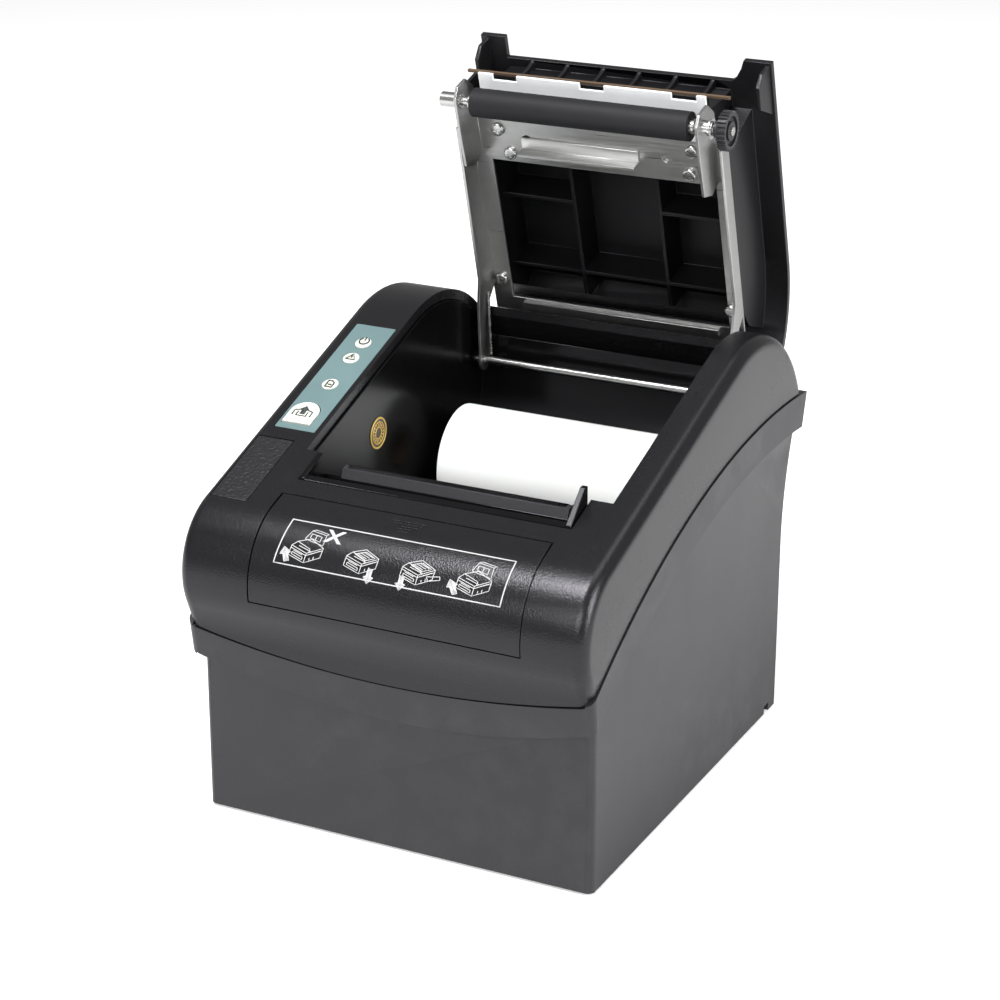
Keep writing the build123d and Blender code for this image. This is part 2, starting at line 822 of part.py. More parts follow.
board_top = board_z + board_thickness
board_blocks = [
    (-38, 20, 16, 16, 3.0),
    (-8, 24, 12, 12, 2.4),
    (18, 14, 20, 8, 2.4),
    (40, 24, 14, 18, 10.0),
]
board_cans = [(-46, 42, 4.0, 11.0), (-34, 42, 4.0, 11.0), (30, 40, 5.0, 14.0), (8, 44, 3.0, 8.0)]
with BuildPart() as board_components:
    for x, y, width, depth, height in board_blocks:
        with Locations((x, y, board_top + height / 2)):
            Box(width, depth, height)
    for x, y, radius, height in board_cans:
        with Locations((x, y, board_top + height / 2)):
            Cylinder(radius, height)
save(board_components, "board_components")

with BuildPart() as board_screws:
    with BuildSketch(Plane.XY.offset(board_z - 3)):
        with Locations(*standoff_places):
            Circle(board_screw_radius)
    extrude(amount=3 + board_thickness)
    with BuildSketch(Plane.XY.offset(board_top)):
        with Locations(*standoff_places):
            Circle(2.6)
    extrude(amount=1.5)
save(board_screws, "board_screws")

shell = 1.0
socket_names = {
    "power": "power_socket",
    "drawer": "drawer_socket",
    "network": "network_socket",
    "data": "data_socket",
}
for name, (place_x, width, height) in sockets.items():
    middle = (place_x, socket_face_y - socket_depth / 2, socket_base_z + height / 2)
    with BuildPart() as socket:
        with Locations(middle):
            Box(width, socket_depth, height)
        with Locations((place_x, socket_face_y, middle[2])):
            Box(width - 2 * shell, 2 * socket_depth - 6, height - 2 * shell, mode=Mode.SUBTRACT)
        # Contact block standing in the hollow.
        with Locations((place_x, socket_face_y - 6.5, middle[2])):
            Box(width * 0.5, 9.0, height * 0.22)
    save(socket, socket_names[name])

switch_depth = 16.0
rocker_pivot_y = rear_y - 3.6
rocker_swing_room = 0.8
with BuildPart() as switch_frame:
    with Locations((switch_x, rear_y + 0.6, switch_z)):
        Box(switch_width, 1.2, switch_height)
    with Locations((switch_x, rear_y - switch_depth / 2, switch_z)):
        Box(switch_width - 2.6, switch_depth, switch_height - 2.6)
    with Locations((switch_x, rear_y - 2.0, switch_z)):
        Box(switch_width - 4.6, 12.0, switch_height - 4.6, mode=Mode.SUBTRACT)
save(switch_frame, "switch_frame")

with BuildPart() as power_rocker:
    rocker_height = switch_height - 4.6 - 2 * gap
    with BuildSketch(Plane.XY.offset(switch_z - rocker_height / 2)):
        with BuildLine():
            half = (switch_width - 4.6) / 2 - rocker_swing_room
            Polyline(
                (switch_x - half, rear_y - 1.2), (switch_x - half, rear_y + 2.2),
                (switch_x, rear_y + 1.2), (switch_x + half, rear_y + 2.2),
                (switch_x + half, rear_y - 1.2), (switch_x, rear_y - 5.0),
                (switch_x - half, rear_y - 1.2),
            )
        make_face()
    extrude(amount=rocker_height)
    # Pivot pins above and below.
    with Locations((switch_x, rocker_pivot_y, switch_z)):
        Cylinder(1.2, rocker_height + 0.4)
save(power_rocker, "power_rocker")

# ---------------------------------------------------------------- paper bucket
bucket_left = opening_left + 0.8
bucket_right = opening_right - 0.8
bucket_z = 114.4
sill_z = 87.0
sill_front = -19.4
sill_front_z = 84.0
bucket_top = 125.6
liner_front = opening_front + 1.0
liner_low = rim_depth + 0.4


def bucket_section(grow):
    """Outline of the bucket's floor seen from the side, grown outwards."""
    reach = bucket_radius + grow
    angle = math.asin((bucket_z - sill_z + 0.7 * grow) / reach)
    turn = (bucket_y - reach * math.cos(angle), bucket_z - reach * math.sin(angle))
    low = (bucket_y, bucket_z - reach)
    return turn, low, (bucket_y + reach, bucket_z)


with BuildPart() as paper_bucket:
    # Floor: rear wall, round trough, sill and the guide in front of it.
    inner_turn, inner_low, inner_rear_point = bucket_section(0)
    outer_turn, outer_low, outer_rear_point = bucket_section(bucket_wall)
    with BuildSketch(side_plane(bucket_left - bucket_wall)):
        with BuildLine():
            Line((sill_front, sill_front_z), inner_turn)
            ThreePointArc(inner_turn, inner_low, inner_rear_point)
            Polyline(
                inner_rear_point, (inner_rear_point[0], bucket_top - 1),
                (outer_rear_point[0], bucket_top - 1), outer_rear_point,
            )
            ThreePointArc(outer_rear_point, outer_low, outer_turn)
            Polyline(
                outer_turn, (sill_front + bucket_wall, sill_front_z - bucket_wall),
                (sill_front + bucket_wall, 74.0), (sill_front, 74.0), (sill_front, sill_front_z),
            )
        make_face()
    extrude(amount=bucket_right - bucket_left + 2 * bucket_wall)
    # Side walls, following the arms' edge below the rim.
    for wall_x in (bucket_left - bucket_wall, bucket_right):
        with BuildSketch(side_plane(wall_x)):
            with BuildLine():
                start = (liner_front, surface_z(liner_front) - liner_low)
                turn_point = (turn_y, surface_z(turn_y) - liner_low)
                Line(start, turn_point)
                ThreePointArc(turn_point, rear_arc_point(-12, liner_low), rear_arc_point(-40, liner_low))
                Polyline(
                    rear_arc_point(-40, liner_low), (inner_rear_point[0], bucket_top),
                    inner_rear_point,
                )
                ThreePointArc(inner_rear_point, inner_low, inner_turn)
                Polyline(inner_turn, (sill_front, sill_front_z), (liner_front, 96.0), start)
            make_face()
        extrude(amount=bucket_wall)
    with BuildSketch(side_plane(bucket_left - 2 * bucket_wall)):
        with Locations((hinge_y, hinge_z)):
            Circle(shaft_radius)
    extrude(amount=bucket_right - bucket_left + 4 * bucket_wall, mode=Mode.SUBTRACT)
save(paper_bucket, "paper_bucket")

with BuildPart() as bucket_sticker:
    with BuildSketch(side_plane(bucket_left)):
        with Locations((0, 111.0)):
            Circle(5.7)
    extrude(amount=0.2)
save(bucket_sticker, "bucket_sticker")

with BuildPart() as paper_sensor:
    with Locations((paper_x, sill_front - 1.3, 77.0)):
        Box(8.0, 2.6, 5.0)
save(paper_sensor, "paper_sensor")

with BuildPart() as cover_switch:
    with Locations((plate_left + plate_sheet + 2.0, -58.0, 80.0)):
        Box(4.0, 6.0, 12.0)
save(cover_switch, "cover_switch")

# ---------------------------------------------------------------- hinge
with BuildPart() as hinge_shaft:
    with BuildSketch(side_plane(bucket_left - bucket_wall - 0.8)):
        with Locations((hinge_y, hinge_z)):
            Circle(shaft_radius)
    extrude(amount=bucket_right - bucket_left + 2 * bucket_wall + 1.6)
save(hinge_shaft, "hinge_shaft")

with BuildPart() as shaft_collars:
    for collar_x in (bucket_left + 0.1, bucket_right - 1.3):
        with BuildSketch(side_plane(collar_x)):
            with Locations((hinge_y, hinge_z)):
                Circle(3.0)
                Circle(shaft_radius, mode=Mode.SUBTRACT)
        extrude(amount=1.2)
save(shaft_collars, "shaft_collars")

# Torsion spring: closed coil, one leg to the lid's frame, one to the floor.
coil_x = -41.5
wire_radius = 0.45
coil_radius = 2.7
coil_turns = 4.5
coil_pitch = 1.05
coil_length = coil_turns * coil_pitch
lid_leg = lid_point(coil_x - 1.8, 24.0, 8.6)
floor_leg = (coil_x + coil_length, hinge_y - 18.0, 76.8)
with BuildPart() as lid_spring:
    with BuildLine() as coil:
        Helix(coil_pitch, coil_length, coil_radius, center=(coil_x, hinge_y, hinge_z), direction=(1, 0, 0))
    with BuildSketch(Plane(origin=coil.line @ 0, z_dir=coil.line % 0)):
        Circle(wire_radius)
    sweep(is_frenet=True)
    for coil_end, leg_end in ((coil.line @ 0, lid_leg), (coil.line @ 1, floor_leg)):
        reach = Vector(*leg_end) - coil_end
        with BuildSketch(Plane(origin=coil_end - reach.normalized() * wire_radius, z_dir=reach)):
            Circle(wire_radius)
        extrude(amount=reach.length + wire_radius)
save(lid_spring, "lid_spring")

# ---------------------------------------------------------------- lid
arc_u = -((arc_y - hinge_y) * math.cos(slope) + (arc_z - hinge_z) * math.sin(slope))
arc_v = (arc_z - hinge_z) * math.cos(slope) - (arc_y - hinge_y) * math.sin(slope)
flush_step = 0.35
skin_radius = rear_radius - flush_step
skin_v = arc_v + skin_radius
skin = 2.2
skin_inner = skin_v - skin
tail_turn = 54.4
skin_left = opening_left + side_clearance
skin_right = opening_right - side_clearance
box_wall = 1.8
rib = 1.4
rib_low = 26.0
skirt_x = -47.6


def skin_arc(angle, radius):
    turned = math.radians(angle)
    return (arc_u - radius * math.sin(turned), arc_v + radius * math.cos(turned))


with BuildPart() as lid_shell:
    inner_radius = skin_radius - skin
    with BuildSketch(lid_side(skin_right)):
        with BuildLine():
            Line((lid_length, skin_v), (arc_u, skin_v))
            ThreePointArc(
                (arc_u, skin_v), skin_arc(tail_turn / 2, skin_radius), skin_arc(tail_turn, skin_radius)
            )
            Line(skin_arc(tail_turn, skin_radius), skin_arc(tail_turn, inner_radius))
            ThreePointArc(
                skin_arc(tail_turn, inner_radius), skin_arc(tail_turn / 2, inner_radius),
                (arc_u, skin_inner),
            )
            Polyline((arc_u, skin_inner), (lid_length, skin_inner), (lid_length, skin_v))
        make_face()
    extrude(amount=skin_right - skin_left)
    # Walls of the inner box.
    with BuildSketch(lid_side(box_right)):
        Polygon(
            (25.8, 16.8), (89.4, 17.2), (92.5, skin_inner + 0.5), (12.7, skin_inner + 0.5),
            (7.9, 32.9), (16.0, 21.5), align=None,
        )
    extrude(amount=box_right - box_left)
    with BuildSketch(lid_side(box_right - box_wall)):
        Polygon(
            (27.2, 14.0), (87.6, 14.0), (90.6, skin_inner), (15.0, skin_inner - 0.6),
            (10.4, 32.9), (17.8, 22.4), align=None,
        )
    extrude(amount=box_right - box_left - 2 * box_wall, mode=Mode.SUBTRACT)
    # Stiffening ribs inside the box.
    for rib_x in (-13.0, 20.0):
        with BuildSketch(lid_face(skin_inner + 0.4)):
            with Locations((rib_x, 53.0)):
                Rectangle(rib, 76.0)
        extrude(amount=skin_inner + 0.4 - rib_low)
    for left, right, rib_u in ((-42.0, -13.0, 55.0), (20.0, 51.0, 55.0), (-42.0, 51.0, 26.0)):
        with BuildSketch(lid_face(skin_inner + 0.4)):
            with Locations(((left + right) / 2, rib_u)):
                Rectangle(right - left, rib)
        extrude(amount=skin_inner + 0.4 - rib_low)
    # Strip in front of the box that faces the trough, on two webs.
    with BuildSketch(lid_side(45.0)):
        Polygon(
            (97.6, skin_inner + 0.4), (99.2, skin_inner + 0.4), (100.0, 30.0), (101.6, 21.2),
            (106.8, 21.2), (106.8, 19.4), (100.0, 19.4), (98.4, 30.0), align=None,
        )
    extrude(amount=83.4)
    for web_x in (45.0, -37.0):
        with BuildSketch(lid_side(web_x)):
            Polygon(
                (89.6, 21.0), (100.6, 21.0), (98.8, skin_inner + 0.4), (91.6, skin_inner + 0.4),
                align=None,
            )
        extrude(amount=1.4)
    # Side cheeks at the front corners.
    for cheek_x in (-45.4, 59.4):
        with BuildSketch(lid_side(cheek_x)):
            Polygon(
                (91.0, skin_inner + 0.4), (109.4, skin_inner + 0.4), (109.4, 34.0), (106.0, 30.0),
                (98.0, 30.0), align=None,
            )
        extrude(amount=1.4)
    # Recess of the front edge that clears the trough.
    with BuildSketch(lid_face(skin_v + 2)):
        Polygon(
            (-39.0, recess_u), (45.5, recess_u), (47.0, 103.6), (49.2, 107.4), (51.0, lid_length + 2),
            (-39.0, lid_length + 2), align=None,
        )
    extrude(amount=skin + 2.0, mode=Mode.SUBTRACT)
    # Curved ribs across the strip.
    for place in range(6):
        with BuildSketch(lid_side(paper_x - 34.2 + place * 13.6 + 0.8)):
            with BuildLine():
                rib_top = (102.3, skin_inner + 0.4)
                rib_foot = (106.4, 20.8)
                ThreePointArc(rib_top, (102.0, 29.0), rib_foot)
                Polyline(rib_foot, (100.8, 20.8), (98.4, 30.0), (98.0, skin_inner + 0.4), rib_top)
            make_face()
        extrude(amount=1.3)
    # Skirt along the left edge, outside the frame.
    with BuildSketch(lid_side(skirt_x + 1.2)):
        Polygon(
            (22.0, 24.0), (30.0, 13.0), (98.0, 13.0), (101.0, 24.0), (101.0, skin_inner + 0.4),
            (22.0, skin_inner + 0.4), align=None,
        )
    extrude(amount=1.2)
save(lid_shell, "lid_shell")

frame_left = -44.8
frame_right = 52.4
frame_low = 12.6
frame_high = 93.0
flange_end = 92.0
eye_radius = 3.8
arm_rear = [(flange_end, frame_v), (24.5, frame_v), (19.5, 9.0), (12, 6.2), (0, 3.6)]
left_arm = [(0, -3.4), (22, 1.5), (31, 5.0), (flange_end, 6.5), *arm_rear]
right_arm = [(0, -3.4), (15, 0.5), (24, 6.5), (32, 10.5), (flange_end, 11.0), *arm_rear]
frame_screw_places = [(-40.6, 25.7), (48.4, 25.8)]

with BuildPart() as lid_frame:
    with BuildSketch(lid_face(frame_v)):
        with Locations(((frame_left + frame_right) / 2, (frame_low + frame_high) / 2)):
            Rectangle(frame_right - frame_left, frame_high - frame_low)
        with Locations(((-37.3 + 47.0) / 2, (18.4 + 75.5) / 2)):
            Rectangle(47.0 + 37.3, 75.5 - 18.4, mode=Mode.SUBTRACT)
    extrude(amount=sheet)
    for flange_x, outline in ((frame_left + sheet, left_arm), (frame_right, right_arm)):
        with BuildSketch(lid_side(flange_x)):
            Polygon(*outline, align=None)
            Circle(eye_radius)
            Circle(shaft_radius + running_clearance, mode=Mode.SUBTRACT)
        extrude(amount=sheet)
save(lid_frame, "lid_frame")

with BuildPart() as lid_screws:
    with BuildSketch(lid_face(frame_v - sheet)):
        with Locations(*frame_screw_places):
            Circle(2.8)
    extrude(amount=1.4)
save(lid_screws, "lid_screws")

with BuildPart() as tie_bar:
    with BuildSketch(lid_face(frame_v - sheet)):
        with Locations((5.2, 16.2)):
            Rectangle(76.0, 2.6)
    extrude(amount=1.6)
save(tie_bar, "tie_bar")

bracket_v = frame_v - sheet
ear_left = -41.4
ear_right = 47.9
ear_front = 109.2
bracket_screw_places = [(-32.8, 88.6), (-29.1, 79.6), (39.9, 88.6), (38.3, 79.6)]
with BuildPart() as platen_bracket:
    with BuildSketch(lid_face(bracket_v)):
        with Locations(((ear_left + ear_right + sheet) / 2, (77.5 + 96.0) / 2)):
            Rectangle(ear_right + sheet - ear_left, 96.0 - 77.5)
        with Locations((-22.2, 85.4), (30.2, 84.8)):
            Circle(1.8, mode=Mode.SUBTRACT)
    extrude(amount=sheet)
    for ear_x, low_v in ((ear_left + sheet, 2.0), (ear_right + sheet, 1.0)):
        with BuildSketch(lid_side(ear_x)):
            Polygon(
                (79.0, bracket_v), (76.5, 8.0), (79.5, low_v + 0.6), (92.0, low_v), (106.0, low_v),
                (ear_front, 2.8 + low_v), (ear_front, 11.0), (104.0, bracket_v), align=None,
            )
            with Locations((platen_u, platen_v)):
                Circle(bush_radius, mode=Mode.SUBTRACT)
        extrude(amount=sheet)
save(platen_bracket, "platen_bracket")

with BuildPart() as bracket_screws:
    with BuildSketch(lid_face(bracket_v - sheet)):
        with Locations(*bracket_screw_places):
            Circle(2.4)
    extrude(amount=1.3)
save(bracket_screws, "bracket_screws")

with BuildPart() as spring_stay:
    with BuildSketch(lid_face(bracket_v - sheet)):
        with Locations((-2.0, 84.0)):
            Rectangle(44.0, 5.0)
    extrude(amount=sheet)
    with BuildSketch(lid_face(bracket_v - sheet)):
        with Locations((-2.0, 82.0)):
            Rectangle(44.0, sheet)
    extrude(amount=5.4)
save(spring_stay, "spring_stay")

with BuildPart() as slotted_plate:
    with BuildSketch(lid_face(bracket_v - sheet)):
        with Locations((5.0, (93.0 + 110.4) / 2)):
            Rectangle(84.0, 110.4 - 93.0)
        with Locations((-27.0, 109.4), (5.6, 109.4), (39.2, 109.4)):
            Rectangle(9.0, 2.4, mode=Mode.SUBTRACT)
    extrude(amount=sheet)
save(slotted_plate, "slotted_plate")

with BuildPart() as seal_strip:
    with BuildSketch(lid_side(53.1)):
        Polygon((106.8, 19.6), (107.8, 19.6), (107.8, 20.6), (106.8, 20.6), align=None)
    extrude(amount=97.3)
save(seal_strip, "seal_strip")

with BuildPart() as platen_bushes:
    for left, right in ((-47.6, -40.0), (47.0, 52.6)):
        with BuildSketch(lid_side(right)):
            with Locations((platen_u, platen_v)):
                Circle(bush_radius)
                Circle(axle_radius + running_clearance, mode=Mode.SUBTRACT)
        extrude(amount=right - left)
save(platen_bushes, "platen_bushes")

rubber_left = paper_x - paper_width / 2
rubber_right = paper_x + paper_width / 2
with BuildPart() as platen_rubber:
    with BuildSketch(lid_side(rubber_right)):
        with Locations((platen_u, platen_v)):
            Circle(platen_radius)
            Circle(platen_shaft_radius + 0.6, mode=Mode.SUBTRACT)
    extrude(amount=paper_width)
save(platen_rubber, "platen_rubber")

with BuildPart() as platen_shaft:
    with BuildSketch(lid_side(rubber_right + 1.6)):
        with Locations((platen_u, platen_v)):
            Circle(platen_shaft_radius + 0.6)
    extrude(amount=paper_width + 3.2)
    with BuildSketch(lid_side(gear_left + gear_width + 0.6)):
        with Locations((platen_u, platen_v)):
            Circle(axle_radius)
    extrude(amount=gear_left + gear_width + 0.6 + 47.7)
save(platen_shaft, "platen_shaft")

platen_y, platen_z = lid_point(0, platen_u, platen_v)[1:]
with BuildPart() as platen_gear:
    add(gear_body(
        gear_left, gear_width, (platen_y, platen_z), platen_teeth, platen_gear_phase, axle_radius
    ))
    # Recessed web on the outer face, and a hub towards the bearing.
    with BuildSketch(side_plane(gear_left + gear_width - 0.9)):
        with Locations((platen_y, platen_z)):
            Circle(5.0)
            Circle(3.2, mode=Mode.SUBTRACT)
    extrude(amount=0.9, mode=Mode.SUBTRACT)
    with BuildSketch(side_plane(gear_left - 2.4)):
        with Locations((platen_y, platen_z)):
            Circle(2.9)
            Circle(axle_radius, mode=Mode.SUBTRACT)
    extrude(amount=2.4)
save(platen_gear, "platen_gear")

# ---------------------------------------------------------------- paper roll
roll_z = bucket_z - bucket_radius + roll_clearance + roll_radius
with BuildPart() as paper_roll:
    with BuildSketch(side_plane(rubber_left)):
        with Locations((bucket_y, roll_z)):
            Circle(roll_radius)
            Circle(core_radius, mode=Mode.SUBTRACT)
    extrude(amount=paper_width)
save(paper_roll, "paper_roll")

with BuildPart() as roll_core:
    with BuildSketch(side_plane(rubber_left)):
        with Locations((bucket_y, roll_z)):
            Circle(core_radius)
            Circle(core_radius - core_wall, mode=Mode.SUBTRACT)
    extrude(amount=paper_width)
save(roll_core, "roll_core")
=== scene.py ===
"""Desktop receipt printer, paper lid open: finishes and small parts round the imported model."""
import bpy
import bmesh
import json
import math
from bpy.props import FloatProperty, FloatVectorProperty, IntProperty, PointerProperty
from mathutils import Matrix, Vector
from mathutils.bvhtree import BVHTree


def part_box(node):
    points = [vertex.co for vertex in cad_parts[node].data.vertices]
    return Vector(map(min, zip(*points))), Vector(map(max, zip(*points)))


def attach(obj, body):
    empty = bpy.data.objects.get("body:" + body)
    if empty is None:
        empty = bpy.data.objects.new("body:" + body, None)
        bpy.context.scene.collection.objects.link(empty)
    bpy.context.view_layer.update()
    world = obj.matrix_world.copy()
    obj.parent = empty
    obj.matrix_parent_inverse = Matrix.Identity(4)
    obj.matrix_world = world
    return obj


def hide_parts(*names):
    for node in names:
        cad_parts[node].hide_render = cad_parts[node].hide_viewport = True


bl_info = {
    "name": "Receipt printer",
    "version": (1, 0, 0),
    "blender": (4, 5, 0),
    "location": "3D View > Sidebar > Receipt printer",
    "description": "Builds the finishes, markings and small fittings of a receipt printer",
    "category": "Add Mesh",
}

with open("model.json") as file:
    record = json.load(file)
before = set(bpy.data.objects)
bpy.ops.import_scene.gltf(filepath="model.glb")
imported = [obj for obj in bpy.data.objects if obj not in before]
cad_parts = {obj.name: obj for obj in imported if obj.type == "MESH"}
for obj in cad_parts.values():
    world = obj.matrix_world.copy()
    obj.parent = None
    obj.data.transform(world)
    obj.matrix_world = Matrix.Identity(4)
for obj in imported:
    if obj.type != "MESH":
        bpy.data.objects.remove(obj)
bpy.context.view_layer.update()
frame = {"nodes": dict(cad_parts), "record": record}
record = frame["record"]
slot_of = {entry["node"]: entry["material_slot"] for entry in record["subparts"]}
body_of_node = {
    node: body for body, nodes in record["behaviour"]["bodies"].items() for node in nodes
}
joint_of = {joint["name"]: joint for joint in record["behaviour"]["joints"]}

MM = 0.001
WELD_DISTANCE = 0.000002
FLAT_ANGLE = math.radians(0.4)
SOFT_EDGE_ANGLE = math.radians(35)
SOFT_EDGE_STEPS = 2
SHARP_ANGLE = math.radians(28)
FITTING_SHARP_ANGLE = math.radians(30)
DOWN = Vector((0, 0, -1))
ABOVE = 0.2


# ------------------------------------------------------------------ settings
class PrinterFinish(bpy.types.PropertyGroup):
    """Colours and surface sizes of the printer."""

    casing_colour: FloatVectorProperty(
        name="Casing", description="Colour of the two casings", subtype="COLOR",
        size=3, default=(0.0075, 0.0075, 0.0082), min=0, max=1,
    )
    inner_colour: FloatVectorProperty(
        name="Bucket", description="Colour of the smoother inner moulding", subtype="COLOR",
        size=3, default=(0.0045, 0.0045, 0.005), min=0, max=1,
    )
    label_colour: FloatVectorProperty(
        name="Label", description="Colour of the film on the control arm", subtype="COLOR",
        size=3, default=(0.118, 0.185, 0.19), min=0, max=1,
    )
    paper_colour: FloatVectorProperty(
        name="Paper", description="Colour of the receipt paper", subtype="COLOR",
        size=3, default=(0.86, 0.86, 0.85), min=0, max=1,
    )
    steel_colour: FloatVectorProperty(
        name="Sheet steel", description="Colour of the zinc plated sheet", subtype="COLOR",
        size=3, default=(0.42, 0.42, 0.415), min=0, max=1,
    )
    grain_size: FloatProperty(
        name="Grain size", description="Width of one bump of the casing's texture", unit="LENGTH",
        default=0.0005, min=0.0001, max=0.005,
    )
    grain_depth: FloatProperty(
        name="Grain depth", description="Depth of the casing's texture", unit="LENGTH",
        default=0.00009, min=0, max=0.001,
    )
    edge_scale: FloatProperty(
        name="Edge rounding", description="Scales the rounding of every softened edge",
        default=1.0, min=0, max=2.0,
    )


class PrinterMarks(bpy.types.PropertyGroup):
    """Sizes of the printed marks and of the screws."""

    line_width: FloatProperty(
        name="Frame line width", description="Width of the printed frame's line", unit="LENGTH",
        default=0.00045, min=0.0001, max=0.002,
    )
    picture_width: FloatProperty(
        name="Picture line width", description="Width of the lines in the pictures", unit="LENGTH",
        default=0.00027, min=0.0001, max=0.002,
    )
    mark_colour: FloatVectorProperty(
        name="Marks", description="Colour of the printed lines", subtype="COLOR",
        size=3, default=(0.5, 0.5, 0.5), min=0, max=1,
    )
    screw_radius: FloatProperty(
        name="Screw head", description="Radius of a bracket screw's head", unit="LENGTH",
        default=0.0024, min=0.001, max=0.006,
    )
    grip_lines: IntProperty(
        name="Grip lines", description="Short moulded lines at the cutter cover's upper edge",
        default=5, min=1, max=12,
    )


class PrinterStage(bpy.types.PropertyGroup):
    """Camera and studio."""

    camera_place: FloatVectorProperty(
        name="Camera", description="Place of the camera", subtype="TRANSLATION", unit="LENGTH",
        size=3, default=(0.3788, -0.7620, 0.4209),
    )
    azimuth: FloatProperty(
        name="Azimuth", description="Camera's turn round the printer", subtype="ANGLE",
        default=math.radians(26.52),
    )
    elevation: FloatProperty(
        name="Elevation", description="Camera's angle above the horizon", subtype="ANGLE",
        default=math.radians(20.97),
    )
    roll: FloatProperty(
        name="Roll", description="Camera's turn about its own axis", subtype="ANGLE",
        default=math.radians(0.12),
    )
    lens: FloatProperty(
        name="Lens", description="Focal length in millimetres", default=97.3, min=10,
    )


def finish_settings():
    return bpy.context.scene.printer_finish


def mark_settings():
    return bpy.context.scene.printer_marks


# ------------------------------------------------------------------ shared node groups
def new_group(name, inputs, outputs):
    group = bpy.data.node_groups.new(name, "ShaderNodeTree")
    for label, default in inputs:
        socket = group.interface.new_socket(label, in_out="INPUT", socket_type="NodeSocketFloat")
        socket.default_value = default
    for label in outputs:
        group.interface.new_socket(label, in_out="OUTPUT", socket_type="NodeSocketFloat")
    start = group.nodes.new("NodeGroupInput")
    end = group.nodes.new("NodeGroupOutput")
    return group, start, end


def node(tree, kind, **settings):
    made = tree.nodes.new(kind)
    for key, value in settings.items():
        setattr(made, key, value)
    return made


def maths(tree, operation, first, second, clamp=False):
    made = node(tree, "ShaderNodeMath", operation=operation, use_clamp=clamp)
    for socket, value in zip(made.inputs, (first, second)):
        if isinstance(value, (int, float)):
            socket.default_value = value
        else:
            tree.links.new(value, socket)
    return made.outputs[0]


def spread(tree, value, low, high, out_low=0.0, out_high=1.0):
    made = node(tree, "ShaderNodeMapRange", clamp=True)
    tree.links.new(value, made.inputs["Value"])
    made.inputs["From Min"].default_value = low
    made.inputs["From Max"].default_value = high
    made.inputs["To Min"].default_value = out_low
    made.inputs["To Max"].default_value = out_high
    return made.outputs["Result"]


def noise(tree, vector, scale, detail, roughness=0.5):
    made = node(tree, "ShaderNodeTexNoise")
    tree.links.new(vector, made.inputs["Vector"])
    if isinstance(scale, (int, float)):
        made.inputs["Scale"].default_value = scale
    else:
        tree.links.new(scale, made.inputs["Scale"])
    made.inputs["Detail"].default_value = detail
    made.inputs["Roughness"].default_value = roughness
    return made.outputs["Fac"]


def stretched(tree, vector, scale):
    made = node(tree, "ShaderNodeMapping")
    tree.links.new(vector, made.inputs["Vector"])
    made.inputs["Scale"].default_value = scale
    return made.outputs["Vector"]


def grain_group():
    """Spark-eroded moulding texture: rounded pits of uneven size."""
    group, start, end = new_group("Moulded grain", [("Scale", 1800.0)], ["Height", "Mask"])
    place = node(group, "ShaderNodeTexCoord").outputs["Object"]
    pits = node(group, "ShaderNodeTexVoronoi", feature="SMOOTH_F1")
    pits.inputs["Smoothness"].default_value = 0.6
    group.links.new(place, pits.inputs["Vector"])
    group.links.new(start.outputs["Scale"], pits.inputs["Scale"])
    coarse = noise(group, place, maths(group, "MULTIPLY", start.outputs["Scale"], 0.9), 2.0)
    height = maths(group, "MULTIPLY", pits.outputs["Distance"], coarse)
    group.links.new(height, end.inputs["Height"])
    group.links.new(spread(group, height, 0.15, 0.4), end.inputs["Mask"])
    return group


def wear_group():
    """Rubbed corners and faint handling marks."""
    group, start, end = new_group(
        "Edge wear", [("Amount", 0.4), ("Spread", 90.0)], ["Wear", "Smudge"],
    )
    place = node(group, "ShaderNodeTexCoord").outputs["Object"]
    sharpness = node(group, "ShaderNodeNewGeometry").outputs["Pointiness"]
    edge = spread(group, sharpness, 0.53, 0.66)
    patchy = spread(group, noise(group, place, start.outputs["Spread"], 4.0, 0.6), 0.42, 0.62)
    worn = maths(group, "MULTIPLY", edge, patchy)
    worn = maths(group, "MULTIPLY", worn, start.outputs["Amount"], clamp=True)
    smudge = spread(group, noise(group, place, 34.0, 5.0, 0.62), 0.35, 0.7)
    group.links.new(worn, end.inputs["Wear"])
    group.links.new(smudge, end.inputs["Smudge"])
    return group


def brushed_group():
    """Fine lines left by rolling along X, and the cloudy bloom of the plating."""
    group, start, end = new_group("Rolled lines", [("Across", 1400.0)], ["Lines", "Bloom"])
    place = node(group, "ShaderNodeTexCoord").outputs["Object"]
    mapping = stretched(group, place, (0.02, 1.0, 1.0))
    lines = noise(group, mapping, start.outputs["Across"], 2.0, 0.6)
    bloom = noise(group, place, 160.0, 4.0, 0.6)
    group.links.new(lines, end.inputs["Lines"])
    group.links.new(spread(group, bloom, 0.3, 0.7), end.inputs["Bloom"])
    return group


def layers_group():
    """Rings of a wound roll about an axis along X."""
    group, start, end = new_group("Wound layers", [("Rings", 5200.0)], ["Height", "Tone"])
    place = node(group, "ShaderNodeTexCoord").outputs["Object"]
    centre = node(group, "ShaderNodeMapping")
    low, high = (Vector(corner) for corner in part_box("paper_roll"))
    middle = (low + high) / 2
    centre.inputs["Location"].default_value = (0.0, -middle.y, -middle.z)
    centre.inputs["Scale"].default_value = (0.0, 1.0, 1.0)
    group.links.new(place, centre.inputs["Vector"])
    length = node(group, "ShaderNodeVectorMath", operation="LENGTH")
    group.links.new(centre.outputs["Vector"], length.inputs[0])
    wave = maths(group, "MULTIPLY", length.outputs["Value"], start.outputs["Rings"])
    rings = maths(group, "SINE", wave, 0.0)
    tone = maths(group, "MULTIPLY", length.outputs["Value"], 900.0)
    group.links.new(rings, end.inputs["Height"])
    group.links.new(spread(group, maths(group, "SINE", tone, 0.0), -1.0, 1.0), end.inputs["Tone"])
    return group


